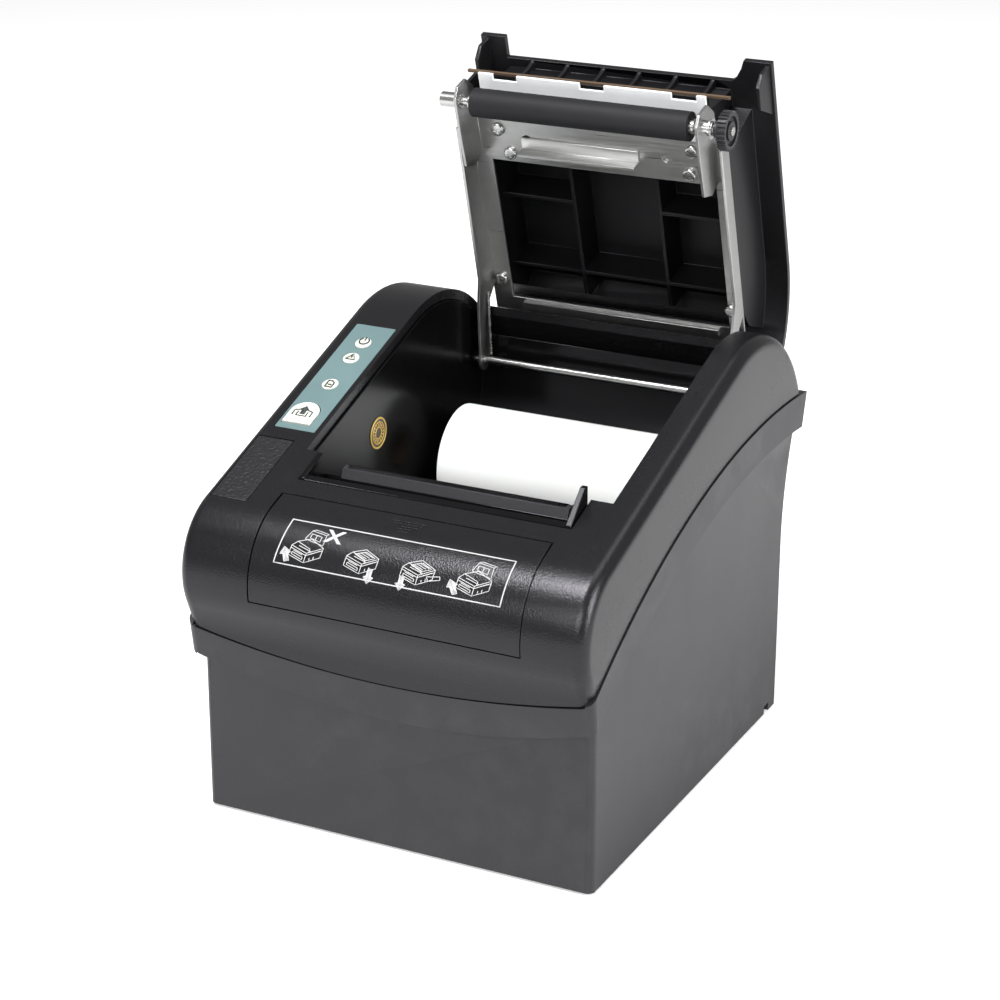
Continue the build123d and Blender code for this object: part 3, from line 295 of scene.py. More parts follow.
GROUP_MAKERS = {
    "grain": grain_group, "wear": wear_group, "brushed": brushed_group, "layers": layers_group,
}
groups = {}


def shared(name):
    """The node group of that name, made the first time a material asks for it."""
    if name not in groups:
        groups[name] = GROUP_MAKERS[name]()
    return groups[name]


# ------------------------------------------------------------------ materials
def start_material(name, roughness, metallic=0.0):
    material = bpy.data.materials.new(name)
    material.use_nodes = True
    tree = material.node_tree
    shader = tree.nodes["Principled BSDF"]
    shader.inputs["Roughness"].default_value = roughness
    shader.inputs["Metallic"].default_value = metallic
    return material, tree, shader


def place_group(tree, name, **values):
    made = tree.nodes.new("ShaderNodeGroup")
    made.node_tree = shared(name)
    for key, value in values.items():
        made.inputs[key.replace("_", " ")].default_value = value
    return made


def mix_colour(tree, factor, first, second):
    made = node(tree, "ShaderNodeMix", data_type="RGBA")
    tree.links.new(factor, made.inputs["Factor"])
    for socket, value in ((made.inputs[6], first), (made.inputs[7], second)):
        if isinstance(value, bpy.types.NodeSocket):
            tree.links.new(value, socket)
        else:
            socket.default_value = (*value[:3], 1.0)
    return made.outputs[2]


def bump(tree, shader, height, distance, strength=1.0):
    made = node(tree, "ShaderNodeBump")
    made.inputs["Distance"].default_value = distance
    made.inputs["Strength"].default_value = strength
    tree.links.new(height, made.inputs["Height"])
    tree.links.new(made.outputs["Normal"], shader.inputs["Normal"])


def lighter(colour, factor, lift=0.0):
    """The colour times a factor; a factor below one darkens it."""
    return tuple(min(1.0, value * factor + lift) for value in colour[:3])


def plastic(name, colour, roughness, grain_size, depth, wear=0.35, shine=0.38):
    """Moulded plastic with a spark texture, rubbed edges and faint smudges."""
    material, tree, shader = start_material(name, roughness)
    shader.inputs["Specular IOR Level"].default_value = shine
    shader.inputs["Specular Tint"].default_value = (0.94, 0.93, 1.0, 1.0)
    grain = place_group(tree, "grain", Scale=1.0 / grain_size)
    worn = place_group(tree, "wear", Amount=wear)
    base = mix_colour(tree, grain.outputs["Mask"], lighter(colour, 0.82), lighter(colour, 1.12))
    base = mix_colour(tree, worn.outputs["Wear"], base, lighter(colour, 1.5, 0.006))
    tree.links.new(base, shader.inputs["Base Color"])
    smooth = spread(tree, worn.outputs["Smudge"], 0.0, 1.0, roughness - 0.015, roughness + 0.015)
    polish = maths(tree, "MULTIPLY", worn.outputs["Wear"], 0.1)
    rough = maths(tree, "SUBTRACT", smooth, polish, clamp=True)
    tree.links.new(rough, shader.inputs["Roughness"])
    bump(tree, shader, grain.outputs["Height"], depth)
    return material


def steel(name, colour, roughness, depth=0.00001, bloom=0.12):
    """Rolled and plated sheet, with faint lines and cloudy plating."""
    material, tree, shader = start_material(name, roughness, 1.0)
    lines = place_group(tree, "brushed")
    worn = place_group(tree, "wear", Amount=0.5)
    dull, clear = lighter(colour, 1.0 - bloom), lighter(colour, 1.0 + bloom)
    base = mix_colour(tree, lines.outputs["Bloom"], dull, clear)
    base = mix_colour(tree, worn.outputs["Wear"], base, lighter(colour, 1.3))
    tree.links.new(base, shader.inputs["Base Color"])
    rough = spread(tree, lines.outputs["Lines"], 0.25, 0.75, roughness - 0.08, roughness + 0.1)
    tree.links.new(rough, shader.inputs["Roughness"])
    bump(tree, shader, lines.outputs["Lines"], depth)
    return material


def rubber(name, colour):
    """Ground rubber: a fine matt surface with small pores."""
    roughness = 0.62
    material, tree, shader = start_material(name, roughness)
    shader.inputs["Specular IOR Level"].default_value = 0.25
    grain = place_group(tree, "grain", Scale=4200.0)
    worn = place_group(tree, "wear", Amount=0.2)
    base = mix_colour(tree, worn.outputs["Smudge"], lighter(colour, 0.86), lighter(colour, 1.14))
    tree.links.new(base, shader.inputs["Base Color"])
    rough = spread(tree, grain.outputs["Mask"], 0.0, 1.0, roughness - 0.07, roughness + 0.07)
    tree.links.new(rough, shader.inputs["Roughness"])
    bump(tree, shader, grain.outputs["Height"], 0.00003)
    return material


def paper(name, colour):
    """Coated receipt paper, with the wound edges showing as fine rings."""
    roughness = 0.72
    material, tree, shader = start_material(name, roughness)
    layers = place_group(tree, "layers")
    grain = place_group(tree, "grain", Scale=5000.0)
    base = mix_colour(tree, layers.outputs["Tone"], lighter(colour, 0.965), colour)
    tree.links.new(base, shader.inputs["Base Color"])
    rough = spread(tree, grain.outputs["Mask"], 0.0, 1.0, roughness - 0.06, roughness + 0.06)
    tree.links.new(rough, shader.inputs["Roughness"])
    bump(tree, shader, layers.outputs["Height"], 0.00003, 0.5)
    shader.inputs["Subsurface Weight"].default_value = 0.05
    return material


def film(name, colour, roughness, coat):
    """Printed film or painted metal under a clear layer."""
    material, tree, shader = start_material(name, roughness)
    grain = place_group(tree, "grain", Scale=2600.0)
    worn = place_group(tree, "wear", Amount=0.25)
    base = mix_colour(tree, worn.outputs["Smudge"], lighter(colour, 0.94), lighter(colour, 1.06))
    tree.links.new(base, shader.inputs["Base Color"])
    rough = spread(tree, worn.outputs["Smudge"], 0.0, 1.0, roughness - 0.05, roughness + 0.06)
    tree.links.new(rough, shader.inputs["Roughness"])
    shader.inputs["Coat Weight"].default_value = coat
    shader.inputs["Coat Roughness"].default_value = 0.2
    bump(tree, shader, grain.outputs["Height"], 0.000012)
    return material


materials = {}


def build_materials():
    """One material for each finish slot, and a few more for marks and exceptions."""
    settings = finish_settings()
    casing = tuple(settings.casing_colour)
    inner = tuple(settings.inner_colour)
    sheet = tuple(settings.steel_colour)
    size, depth = settings.grain_size, settings.grain_depth
    gear, part, socket = (0.016, 0.016, 0.017), (0.02, 0.02, 0.022), (0.014, 0.014, 0.015)
    materials.update({
        "casing_black": plastic("Casing plastic", casing, 0.27, size, depth, shine=0.34),
        "casing_satin": plastic(
            "Lower casing plastic", lighter(casing, 2.2), 0.42, size * 0.6, depth * 0.12,
        ),
        "panel_black": plastic("Cutter cover plastic", casing, 0.26, size, depth, shine=0.34),
        "bucket_black": plastic(
            "Bucket plastic", lighter(inner, 0.5), 0.22, size * 2, depth * 0.1,
            wear=0.2, shine=0.24,
        ),
        "lid_black": plastic(
            "Lid plastic", lighter(casing, 0.8), 0.37, size, depth * 0.4, wear=0.25, shine=0.32,
        ),
        "grip_black": plastic("Grip plastic", lighter(casing, 1.5), 0.42, size * 2.2, depth * 5),
        "white_plastic": film("Guide plate plastic", (0.8, 0.81, 0.82), 0.35, coat=0.0),
        "blade_black": plastic("Tear bar plastic", lighter(casing, 3.5), 0.36, size, depth * 0.2),
        "gear_black": plastic("Gear plastic", gear, 0.4, size, depth * 0.4),
        "component_black": plastic("Component plastic", part, 0.5, size, depth * 0.6),
        "socket_black": plastic("Socket plastic", socket, 0.45, size, depth * 0.6),
        "button_pale": plastic(
            "Feed button", (0.66, 0.68, 0.62), 0.36, size, depth * 0.3, wear=0.1,
        ),
        "label_teal": film("Label film", tuple(settings.label_colour), 0.36, coat=0.25),
        "light_lens": film("Light lens", (0.62, 0.64, 0.56), 0.3, coat=0.3),
        "board_green": film("Board lacquer", (0.01, 0.12, 0.05), 0.35, coat=0.4),
        "motor_can": film("Motor enamel", (0.04, 0.042, 0.045), 0.4, coat=0.3),
        "head_ceramic": film("Head glaze", (0.65, 0.62, 0.55), 0.25, coat=0.5),
        "sticker_gold": film("Foil print", (0.66, 0.44, 0.09), 0.34, coat=0.3),
        "sticker_dark": film("Foil sticker", (0.045, 0.035, 0.018), 0.34, coat=0.3),
        "zinc_steel": steel("Zinc plated sheet", sheet, 0.34, bloom=0.06),
        "zinc_bright": steel(
            "Bright zinc", lighter(sheet, 1.3), 0.36, depth=0.000002, bloom=0.03,
        ),
        "knife_steel": steel("Ground blade steel", lighter(sheet, 1.1), 0.25),
        "shaft_steel": steel(
            "Shaft steel", lighter(sheet, 1.2), 0.24, depth=0.000004, bloom=0.05,
        ),
        "sink_alu": steel("Heat sink metal", lighter(sheet, 1.05), 0.38),
        "socket_metal": steel("Nickel shell", sheet, 0.3),
        "platen_rubber": rubber("Platen rubber", (0.01, 0.01, 0.0115)),
        "foot_rubber": rubber("Foot rubber", (0.018, 0.018, 0.02)),
        "strip_brown": rubber("Soft strip", (0.1, 0.065, 0.04)),
        "paper_white": paper("Receipt paper", tuple(settings.paper_colour)),
        "core_card": plastic("Core card", (0.35, 0.24, 0.14), 0.75, size, depth, wear=0.1),
        "mark_white": film("Printed white", tuple(mark_settings().mark_colour), 0.5, coat=0.0),
        "mark_dark": film("Printed dark", (0.03, 0.035, 0.035), 0.5, coat=0.0),
    })


# ------------------------------------------------------------------ pieces
def link(piece, body, slot, material=None):
    """Puts a new object in the scene, on its body, with its finish."""
    bpy.context.scene.collection.objects.link(piece)
    piece.data.materials.clear()
    piece.data.materials.append(materials[material or slot])
    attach(piece, body)
    return piece


def from_bmesh(name, shape, body, slot, material=None):
    """A new piece from a bmesh, which is used up."""
    mesh = bpy.data.meshes.new(name)
    bmesh.ops.recalc_face_normals(shape, faces=shape.faces)
    shape.to_mesh(mesh)
    shape.free()
    mesh.shade_smooth()
    mesh.set_sharp_from_angle(angle=FITTING_SHARP_ANGLE)
    return link(bpy.data.objects.new(name, mesh), body, slot, material)


def welded(node_name):
    """A bmesh of a CAD node, its faces joined at their shared corners."""
    shape = bmesh.new()
    shape.from_mesh(frame["nodes"][node_name].data)
    bmesh.ops.remove_doubles(shape, verts=shape.verts, dist=WELD_DISTANCE)
    return shape


def finished(node_name, edge):
    """A smooth copy of a CAD node with softened edges, shown in its place."""
    shape = welded(node_name)
    bmesh.ops.dissolve_limit(
        shape, angle_limit=FLAT_ANGLE, verts=shape.verts, edges=shape.edges,
        use_dissolve_boundaries=False,
    )
    mesh = bpy.data.meshes.new(node_name + "_finish")
    shape.to_mesh(mesh)
    shape.free()
    mesh.shade_smooth()
    mesh.set_sharp_from_angle(angle=SHARP_ANGLE)
    piece = bpy.data.objects.new(node_name + "_finish", mesh)
    link(piece, body_of_node[node_name], slot_of[node_name], OTHER_FINISH.get(node_name))
    if edge:
        softened = piece.modifiers.new("Soft edges", "BEVEL")
        softened.width = edge
        softened.segments = SOFT_EDGE_STEPS
        softened.limit_method = "ANGLE"
        softened.angle_limit = SOFT_EDGE_ANGLE
        softened.use_clamp_overlap = True
        softened.harden_normals = False
    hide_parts(node_name)


def wire(name, runs, radius, body, slot, material=None, sides=2):
    """Thin round lines through lists of points, made into one mesh."""
    curve = bpy.data.curves.new(name, "CURVE")
    curve.dimensions = "3D"
    curve.bevel_depth = radius
    curve.bevel_resolution = sides
    curve.use_fill_caps = True
    for points, closed in runs:
        spline = curve.splines.new("POLY")
        spline.points.add(len(points) - 1)
        for target, point in zip(spline.points, points):
            target.co = (*point, 1.0)
        spline.use_cyclic_u = closed
    holder = bpy.data.objects.new(name + "_line", curve)
    bpy.context.scene.collection.objects.link(holder)
    bpy.context.view_layer.update()
    mesh = bpy.data.meshes.new_from_object(holder)
    bpy.data.objects.remove(holder)
    mesh.name = name
    mesh.shade_smooth()
    link(bpy.data.objects.new(name, mesh), body, slot, material)


# ------------------------------------------------------------------ marks on surfaces
def surface_finder(node_name):
    """Finds where a ray meets a CAD node."""
    shape = bmesh.new()
    shape.from_mesh(frame["nodes"][node_name].data)
    tree = BVHTree.FromBMesh(shape)
    shape.free()
    return tree


def below(finder, x, y):
    """The highest point of a surface at (x, y)."""
    place = finder.ray_cast(Vector((x, y, ABOVE)), DOWN)[0]
    if place is None:
        raise RuntimeError("a mark misses its surface")
    return place


def arc_points(centre, radius, start, end, steps):
    turn = [math.radians(start + (end - start) * step / steps) for step in range(steps + 1)]
    return [(centre[0] + radius * math.cos(a), centre[1] + radius * math.sin(a)) for a in turn]


def arrow(x, y, angle, length, width):
    """Outline of a block arrow with its tail at (x, y)."""
    stem = width * 0.45
    head = length * 0.45
    outline = [
        (0, -stem / 2), (length - head, -stem / 2), (length - head, -width / 2), (length, 0),
        (length - head, width / 2), (length - head, stem / 2), (0, stem / 2),
    ]
    cos, sin = math.cos(math.radians(angle)), math.sin(math.radians(angle))
    return [(x + px * cos - py * sin, y + px * sin + py * cos) for px, py in outline]


def printer_drawing(lid_up):
    """Line drawing of a box printer in a unit square, y downwards."""
    body = [
        ([(0.14, 0.58), (0.52, 0.72), (0.52, 0.97), (0.14, 0.83)], True),
        ([(0.52, 0.72), (0.84, 0.52), (0.84, 0.77), (0.52, 0.97)], True),
        ([(0.14, 0.58), (0.24, 0.46), (0.5, 0.34), (0.84, 0.52)], False),
        ([(0.3, 0.56), (0.6, 0.66)], False),
        ([(0.22, 0.7), (0.44, 0.78)], False),
        ([(0.14, 0.64), (0.52, 0.78), (0.84, 0.58)], False),
        ([(0.2, 0.74), (0.46, 0.84), (0.46, 0.9), (0.2, 0.8)], True),
        ([(0.58, 0.74), (0.8, 0.6)], False),
        ([(0.62, 0.82), (0.62, 0.88)], False),
        ([(0.7, 0.77), (0.7, 0.84)], False),
        ([(0.24, 0.46), (0.56, 0.6), (0.56, 0.69)], False),
    ]
    if lid_up:
        body.append(([(0.36, 0.36), (0.44, 0.12), (0.78, 0.18), (0.8, 0.46), (0.36, 0.36)], False))
        body.append(([(0.46, 0.2), (0.7, 0.24), (0.7, 0.38), (0.46, 0.32)], True))
        body.append(([(0.44, 0.12), (0.5, 0.08), (0.82, 0.14), (0.78, 0.18)], False))
        body.append(([(0.58, 0.22), (0.58, 0.35)], False))
    else:
        body.append(([(0.3, 0.5), (0.52, 0.4), (0.76, 0.52), (0.56, 0.62)], True))
        body.append(([(0.36, 0.48), (0.58, 0.57)], False))
        body.append(([(0.42, 0.45), (0.64, 0.54)], False))
        body.append(([(0.48, 0.42), (0.7, 0.51)], False))
    return body


def solid(points):
    """A shape filled by smaller copies of its own outline."""
    across = sum(x for x, y in points) / len(points)
    along = sum(y for x, y in points) / len(points)
    return [
        ([(across + (x - across) * share, along + (y - along) * share) for x, y in points], True)
        for share in (1.0, 0.84, 0.68, 0.52, 0.36, 0.2)
    ]


def cover_drawings():
    """The four operating pictures, each (left, runs) in a unit square."""
    cross = []
    for shift in (0.0, 0.018, 0.036, 0.054, 0.072):
        cross.append(([(0.76 + shift, 0.0), (1.08 + shift, 0.34)], False))
        cross.append(([(1.08 + shift, 0.0), (0.76 + shift, 0.34)], False))
    first = printer_drawing(True) + cross + solid(arrow(0.14, 1.0, -112, 0.38, 0.24))
    second = printer_drawing(False) + solid(arrow(0.74, 0.8, 90, 0.38, 0.22))
    third = printer_drawing(False) + solid(arrow(0.2, 0.82, 90, 0.36, 0.22))
    third += [([(0.7, 0.72), (0.98, 0.66), (1.0, 0.74), (0.76, 0.82)], True)]
    fourth = printer_drawing(True) + solid(arrow(0.16, 1.0, -118, 0.38, 0.24))
    return [(0.025, first), (0.275, second), (0.525, third), (0.77, fourth)]


# The printed frame is found by rays cast back at the curved cover towards a line inside it.
COVER_CENTRE = Vector((0.0, -0.0700, 0.0860))
FRAME_TOP_Y, FRAME_TOP_Z = -0.0782, 0.1098
FRAME_LOW_Y, FRAME_LOW_Z = -0.0889, 0.0980
FRAME_INSET_LEFT, FRAME_INSET_RIGHT = 0.0099, 0.0074
FRAME_LEAN_LEFT, FRAME_LEAN_RIGHT = 0.0015, 0.0004
FRAME_STEPS = 16
COVER_REACH = 0.06
PICTURE_SHARE_X, PICTURE_SHARE_Y, PICTURE_TOP = 0.2, 0.84, 0.08
PICTURE_STEPS = 3
# Short lines forming a wedge at the cover's upper edge.
GRIP_HALF_LENGTH, GRIP_SHORTER, GRIP_Y, GRIP_PITCH = 0.0062, 0.0012, -0.0705, 0.0011
GRIP_LINE_RADIUS = 0.00025


class PRINTER_OT_cover_marks(bpy.types.Operator):
    """Printed frame with four line pictures, and the grip marks, on the cutter cover"""
    bl_idname = "printer.cover_marks"
    bl_label = "Cutter cover marks"

    def execute(self, context):
        settings = mark_settings()
        finder = surface_finder("cutter_cover")
        low, high = (Vector(corner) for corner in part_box("cutter_cover"))
        top_turn = math.atan2(FRAME_TOP_Z - COVER_CENTRE.z, FRAME_TOP_Y - COVER_CENTRE.y)
        low_turn = math.atan2(FRAME_LOW_Z - COVER_CENTRE.z, FRAME_LOW_Y - COVER_CENTRE.y)
        top_left, top_right = low.x + FRAME_INSET_LEFT, high.x - FRAME_INSET_RIGHT
        low_left, low_right = top_left - FRAME_LEAN_LEFT, top_right - FRAME_LEAN_RIGHT

        def on_cover(across, down):
            """A point of the cover, given as shares of the frame's width and height."""
            left = top_left + (low_left - top_left) * down
            right = top_right + (low_right - top_right) * down
            turn = top_turn + (low_turn - top_turn) * down
            outward = Vector((0, math.cos(turn), math.sin(turn)))
            base = Vector((left + (right - left) * across, COVER_CENTRE.y, COVER_CENTRE.z))
            place = finder.ray_cast(base + outward * COVER_REACH, -outward)[0]
            if place is None:
                raise RuntimeError("a mark misses the cutter cover")
            return place

        def drawn(points, closed, steps):
            """A run of points on the cover, each side of the drawing divided into steps."""
            points = points + [points[0]] if closed else points
            run = []
            for first, second in zip(points, points[1:]):
                for step in range(steps):
                    share = step / steps
                    run.append(on_cover(
                        first[0] + (second[0] - first[0]) * share,
                        first[1] + (second[1] - first[1]) * share,
                    ))
            run.append(on_cover(*points[-1]))
            return run, False

        def on_hatch(name, runs, radius, material, sides):
            wire(name, runs, radius, "cutter_hatch", "panel_black", material, sides)

        frame_run = drawn([(0, 0), (1, 0), (1, 1), (0, 1)], True, FRAME_STEPS)
        on_hatch("cover_frame", [frame_run], settings.line_width / 2, "mark_white", 1)
        runs = []
        for left, drawing in cover_drawings():
            for points, closed in drawing:
                placed = [
                    (left + x * PICTURE_SHARE_X, PICTURE_TOP + y * PICTURE_SHARE_Y)
                    for x, y in points
                ]
                runs.append(drawn(placed, closed, PICTURE_STEPS))
        on_hatch("cover_pictures", runs, settings.picture_width / 2, "mark_white", 1)
        grips = []
        middle = (low.x + high.x) / 2
        for step in range(settings.grip_lines):
            half = GRIP_HALF_LENGTH - step * GRIP_SHORTER
            y = GRIP_Y - step * GRIP_PITCH
            line = [below(finder, middle + half * share, y) for share in (-1, -0.5, 0, 0.5, 1)]
            grips.append((line, False))
        on_hatch("cover_grip_marks", grips, GRIP_LINE_RADIUS, None, 2)
        return {"FINISHED"}


# Symbols drawn about a light's middle, one radius of the symbol being 1, y up the slope.
LIGHT_SYMBOLS = (
    ((arc_points((0, 0), 1.0, 125, 415, 20), False), ([(0, 0.2), (0, 1.15)], False)),
    (([(-0.95, -0.8), (0.95, -0.8), (0, 0.95)], True), ([(0, 0.3), (0, -0.25)], False)),
    (
        ([(-0.7, -0.95), (0.7, -0.95), (0.7, 0.4), (0.2, 0.95), (-0.7, 0.95)], True),
        ([(-0.35, -0.2), (0.35, -0.2)], False),
    ),
)
LIGHT_PLACES = (0.0, 0.373, 1.0)
LIGHT_SYMBOL_SHARE = 0.62
FEED_SYMBOL_SIZE = 0.0026
FEED_SYMBOL_DOWN = 0.0008
LIGHT_LINE_RADIUS, LIGHT_LINE_LIFT = 0.00026, 0.00012
FEED_LINE_RADIUS, FEED_LINE_LIFT = 0.00022, 0.0001


def feed_drawing():
    """Arrow rising from a slip, between two brackets."""
    return solid(arrow(0.0, -0.3, 90, 1.5, 1.3)) + [
        ([(-0.6, 0.5), (-1.3, 0.3), (-1.3, -0.7)], False),
        ([(0.6, 0.5), (1.3, 0.3), (1.3, -0.7)], False),
        ([(-0.7, 0.1), (-0.7, -0.7), (0.7, -0.7), (0.7, 0.1)], False),
    ]


class PRINTER_OT_label_marks(bpy.types.Operator):
    """Small dark symbols on the lights and the feed button"""
    bl_idname = "printer.label_marks"
    bl_label = "Label marks"

    def execute(self, context):
        drop = Vector(joint_of["feed_press"]["axis"])
        up_slope = Vector((0.0, -drop.z, drop.y))

        def on_slope(centre, size, drawing):
            return [
                ([centre + Vector((x * size, 0, 0)) + up_slope * (y * size) for x, y in points],
                 closed)
                for points, closed in drawing
            ]

        low, high = (Vector(corner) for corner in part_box("light_windows"))
        finder = surface_finder("light_windows")
        middle_x = (low.x + high.x) / 2
        light_radius = (high.x - low.x) / 2
        slope_run = high.y - low.y - 2 * light_radius * up_slope.y
        runs = []
        for symbol, share in zip(LIGHT_SYMBOLS, LIGHT_PLACES):
            y = high.y - light_radius * up_slope.y - slope_run * share
            centre = below(finder, middle_x, y) - drop * LIGHT_LINE_LIFT
            runs += on_slope(centre, light_radius * LIGHT_SYMBOL_SHARE, symbol)
        wire("light_symbols", runs, LIGHT_LINE_RADIUS, "casing", "label_teal", "mark_dark", 1)
        low, high = (Vector(corner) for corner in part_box("feed_button"))
        finder = surface_finder("feed_button")
        y = (low.y + high.y) / 2 - FEED_SYMBOL_DOWN
        centre = below(finder, (low.x + high.x) / 2, y) - drop * FEED_LINE_LIFT
        runs = on_slope(centre, FEED_SYMBOL_SIZE, feed_drawing())
        wire("feed_symbol", runs, FEED_LINE_RADIUS, "feed_key", "button_pale", "mark_dark", 1)
        return {"FINISHED"}


STICKER_RINGS = (0.95, 0.9, 0.68, 0.36)
STICKER_RING_STEPS = 40
STICKER_SPOKES = 16
STICKER_SPOKE_ENDS = (0.42, 0.62)
STICKER_LINE_RADIUS = 0.0002


class PRINTER_OT_sticker_rings(bpy.types.Operator):
    """Raised rings and spokes of the round foil sticker in the bucket"""
    bl_idname = "printer.sticker_rings"
    bl_label = "Sticker rings"

    def execute(self, context):
        low, high = (Vector(corner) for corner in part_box("bucket_sticker"))
        middle = (low.y + high.y) / 2, (low.z + high.z) / 2
        radius = (high.y - low.y) / 2
        runs = []
        for share in STICKER_RINGS:
            circle = arc_points(middle, radius * share, 0, 360, STICKER_RING_STEPS)[:-1]
            runs.append(([(high.x, y, z) for y, z in circle], True))
        for spoke in range(STICKER_SPOKES):
            angle = spoke * 360 / STICKER_SPOKES
            ends = [
                arc_points(middle, radius * share, angle, angle, 1)[0]
                for share in STICKER_SPOKE_ENDS
            ]
            runs.append(([(high.x, y, z) for y, z in ends], False))
        wire("sticker_rings", runs, STICKER_LINE_RADIUS, "casing", "sticker_gold", None, 1)
        return {"FINISHED"}


# ------------------------------------------------------------------ fittings
HEAD_SIDES = 24
HEAD_HEIGHT = 0.0014
HEAD_SINK = 0.0006
RECESS_TURNS = (20.0, 110.0)
CLIP_BORE, CLIP_RADIUS, CLIP_WIDTH, CLIP_SINK = 0.0019, 0.0034, 0.0006, 0.0008
CLIP_SIDES = 32
# Degrees from the line between the hinge and the platen to the lid's inner face.
LID_FACE_LEAN = 3.207


def screw_head(shape, place, axis, radius, height):
    """Pan head with a cross-shaped recess drawn on it, its axis pointing out of the head."""
    turned = axis.to_track_quat("Z", "Y").to_matrix().to_4x4()
    made = bmesh.ops.create_circle(
        shape, cap_ends=True, segments=HEAD_SIDES, radius=radius,
        matrix=Matrix.Translation(place) @ turned,
    )
    face = made["verts"][0].link_faces[0]
    raised = bmesh.ops.extrude_face_region(shape, geom=[face])
    verts = [item for item in raised["geom"] if isinstance(item, bmesh.types.BMVert)]
    bmesh.ops.translate(shape, verts=verts, vec=axis * height)
    top = [item for item in raised["geom"] if isinstance(item, bmesh.types.BMFace)][0]
    bmesh.ops.bevel(
        shape, geom=list(top.edges), offset=height * 0.55, segments=4, profile=0.5,
        affect="EDGES", material=-1,
    )
    for turn in RECESS_TURNS:
        bar = (
            Matrix.Translation(place + axis * height) @ turned
            @ Matrix.Rotation(math.radians(turn), 4, "Z")
            @ Matrix.Diagonal((radius * 1.15, radius * 0.26, height * 0.12, 1.0))
        )
        bmesh.ops.create_cube(shape, size=1.0, matrix=bar)


def island_centres(node_name):
    """The middle of every separate solid of a CAD node."""
    shape = welded(node_name)
    centres = []
    todo = set(shape.verts)
    while todo:
        island = {todo.pop()}
        edge = list(island)
        while edge:
            for joined in edge.pop().link_edges:
                for vert in joined.verts:
                    if vert in todo:
                        todo.remove(vert)
                        island.add(vert)
                        edge.append(vert)
        total = Vector()
        for vert in island:
            total += vert.co
        centres.append(total / len(island))
    shape.free()
    return sorted(centres, key=lambda centre: (round(centre.x, 5), round(centre.z, 5)))


def lid_outward():
    """Direction from the lid's inside to its outside, at rest."""
    hinge = Vector(joint_of["lid_hinge"]["pos_m"])
    platen = Vector(joint_of["platen_spin"]["pos_m"])
    along = Vector((0, platen.y - hinge.y, platen.z - hinge.z))
    turned = Matrix.Rotation(math.radians(LID_FACE_LEAN), 3, "X") @ along.normalized()
    return Vector((0, turned.z, -turned.y))


class PRINTER_OT_screws(bpy.types.Operator):
    """Cross-recess screw heads on the lid's frame and the platen bracket"""
    bl_idname = "printer.screws"
    bl_label = "Screws"

    def execute(self, context):
        radius = mark_settings().screw_radius
        outward = lid_outward()
        for node_name in ("bracket_screws", "lid_screws"):
            heads = bmesh.new()
            for centre in island_centres(node_name):
                screw_head(heads, centre + outward * HEAD_SINK, -outward, radius, HEAD_HEIGHT)
            piece = from_bmesh(node_name + "_heads", heads, "lid", "zinc_steel", "shaft_steel")
            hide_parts(node_name)
        return {"FINISHED"}


def ring(shape, centre, inner, outer, width):
    """A flat washer about an axis along X, spun from its section."""
    middle = centre + Vector((0, 0, (inner + outer) / 2))
    section = bmesh.ops.create_grid(
        shape, x_segments=1, y_segments=1, size=0.5,
        matrix=Matrix.Translation(middle) @ Matrix.Rotation(math.pi / 2, 4, "X")
        @ Matrix.Diagonal((width, outer - inner, 1.0, 1.0)),
    )
    face = section["verts"][0].link_faces[0]
    bmesh.ops.spin(
        shape, geom=[face, *face.edges, *face.verts], cent=centre, axis=(1, 0, 0),
        angle=math.tau, steps=CLIP_SIDES, use_merge=True, use_duplicate=False,
    )


class PRINTER_OT_fittings(bpy.types.Operator):
    """Retaining ring on the platen's right bearing"""
    bl_idname = "printer.fittings"
    bl_label = "Retaining ring"

    def execute(self, context):
        high = Vector(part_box("platen_bushes")[1])
        platen = Vector(joint_of["platen_spin"]["pos_m"])
        place = Vector((high.x - CLIP_SINK, platen.y, platen.z))
        clips = bmesh.new()
        ring(clips, place, CLIP_BORE, CLIP_RADIUS, CLIP_WIDTH)
        from_bmesh("platen_clips", clips, "lid", "shaft_steel")
        return {"FINISHED"}


# ------------------------------------------------------------------ CAD nodes
# Rounding of each shown node's edges, in millimetres.
SOFT_EDGES = {
    "lower_casing": 0.25, "upper_cover": 0.25, "cutter_cover": 0.22, "paper_bucket": 0.2,
    "lid_shell": 0.22, "tear_trough": 0.2, "tear_blade": 0.05, "release_button": 0.2,
    "control_label": 0.0, "feed_button": 0.0, "lid_frame": 0.12, "platen_bracket": 0.12,
    "slotted_plate": 0.12, "spring_stay": 0.12, "tie_bar": 0.12, "chassis": 0.1,
    "platen_rubber": 0.15, "platen_shaft": 0.1, "platen_gear": 0.06, "paper_roll": 0.1,
    "roll_core": 0.05, "hinge_shaft": 0.1, "shaft_collars": 0.15, "platen_bushes": 0.1,
    "lid_spring": 0.0, "light_windows": 0.0, "bucket_sticker": 0.0, "switch_frame": 0.15,
    "power_rocker": 0.15, "rubber_feet": 0.0, "drive_gear": 0.05, "reduction_gear": 0.05,
    "print_head": 0.1, "heat_sink": 0.1, "seal_strip": 0.1, "cutter_blade": 0.05,
}
# Nodes whose finish differs from their slot's usual one.
OTHER_FINISH = {
    "lower_casing": "casing_satin", "spring_stay": "zinc_bright", "bucket_sticker": "sticker_dark",
}


class PRINTER_OT_mouldings(bpy.types.Operator):
    """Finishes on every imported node, with soft edges on the ones that show"""
    bl_idname = "printer.mouldings"
    bl_label = "Mouldings and sheet metal"

    def execute(self, context):
        for node_name, source in frame["nodes"].items():
            source.data.materials.clear()
            source.data.materials.append(materials[slot_of[node_name]])
        for node_name, edge in SOFT_EDGES.items():
            finished(node_name, edge * MM * finish_settings().edge_scale)
        return {"FINISHED"}


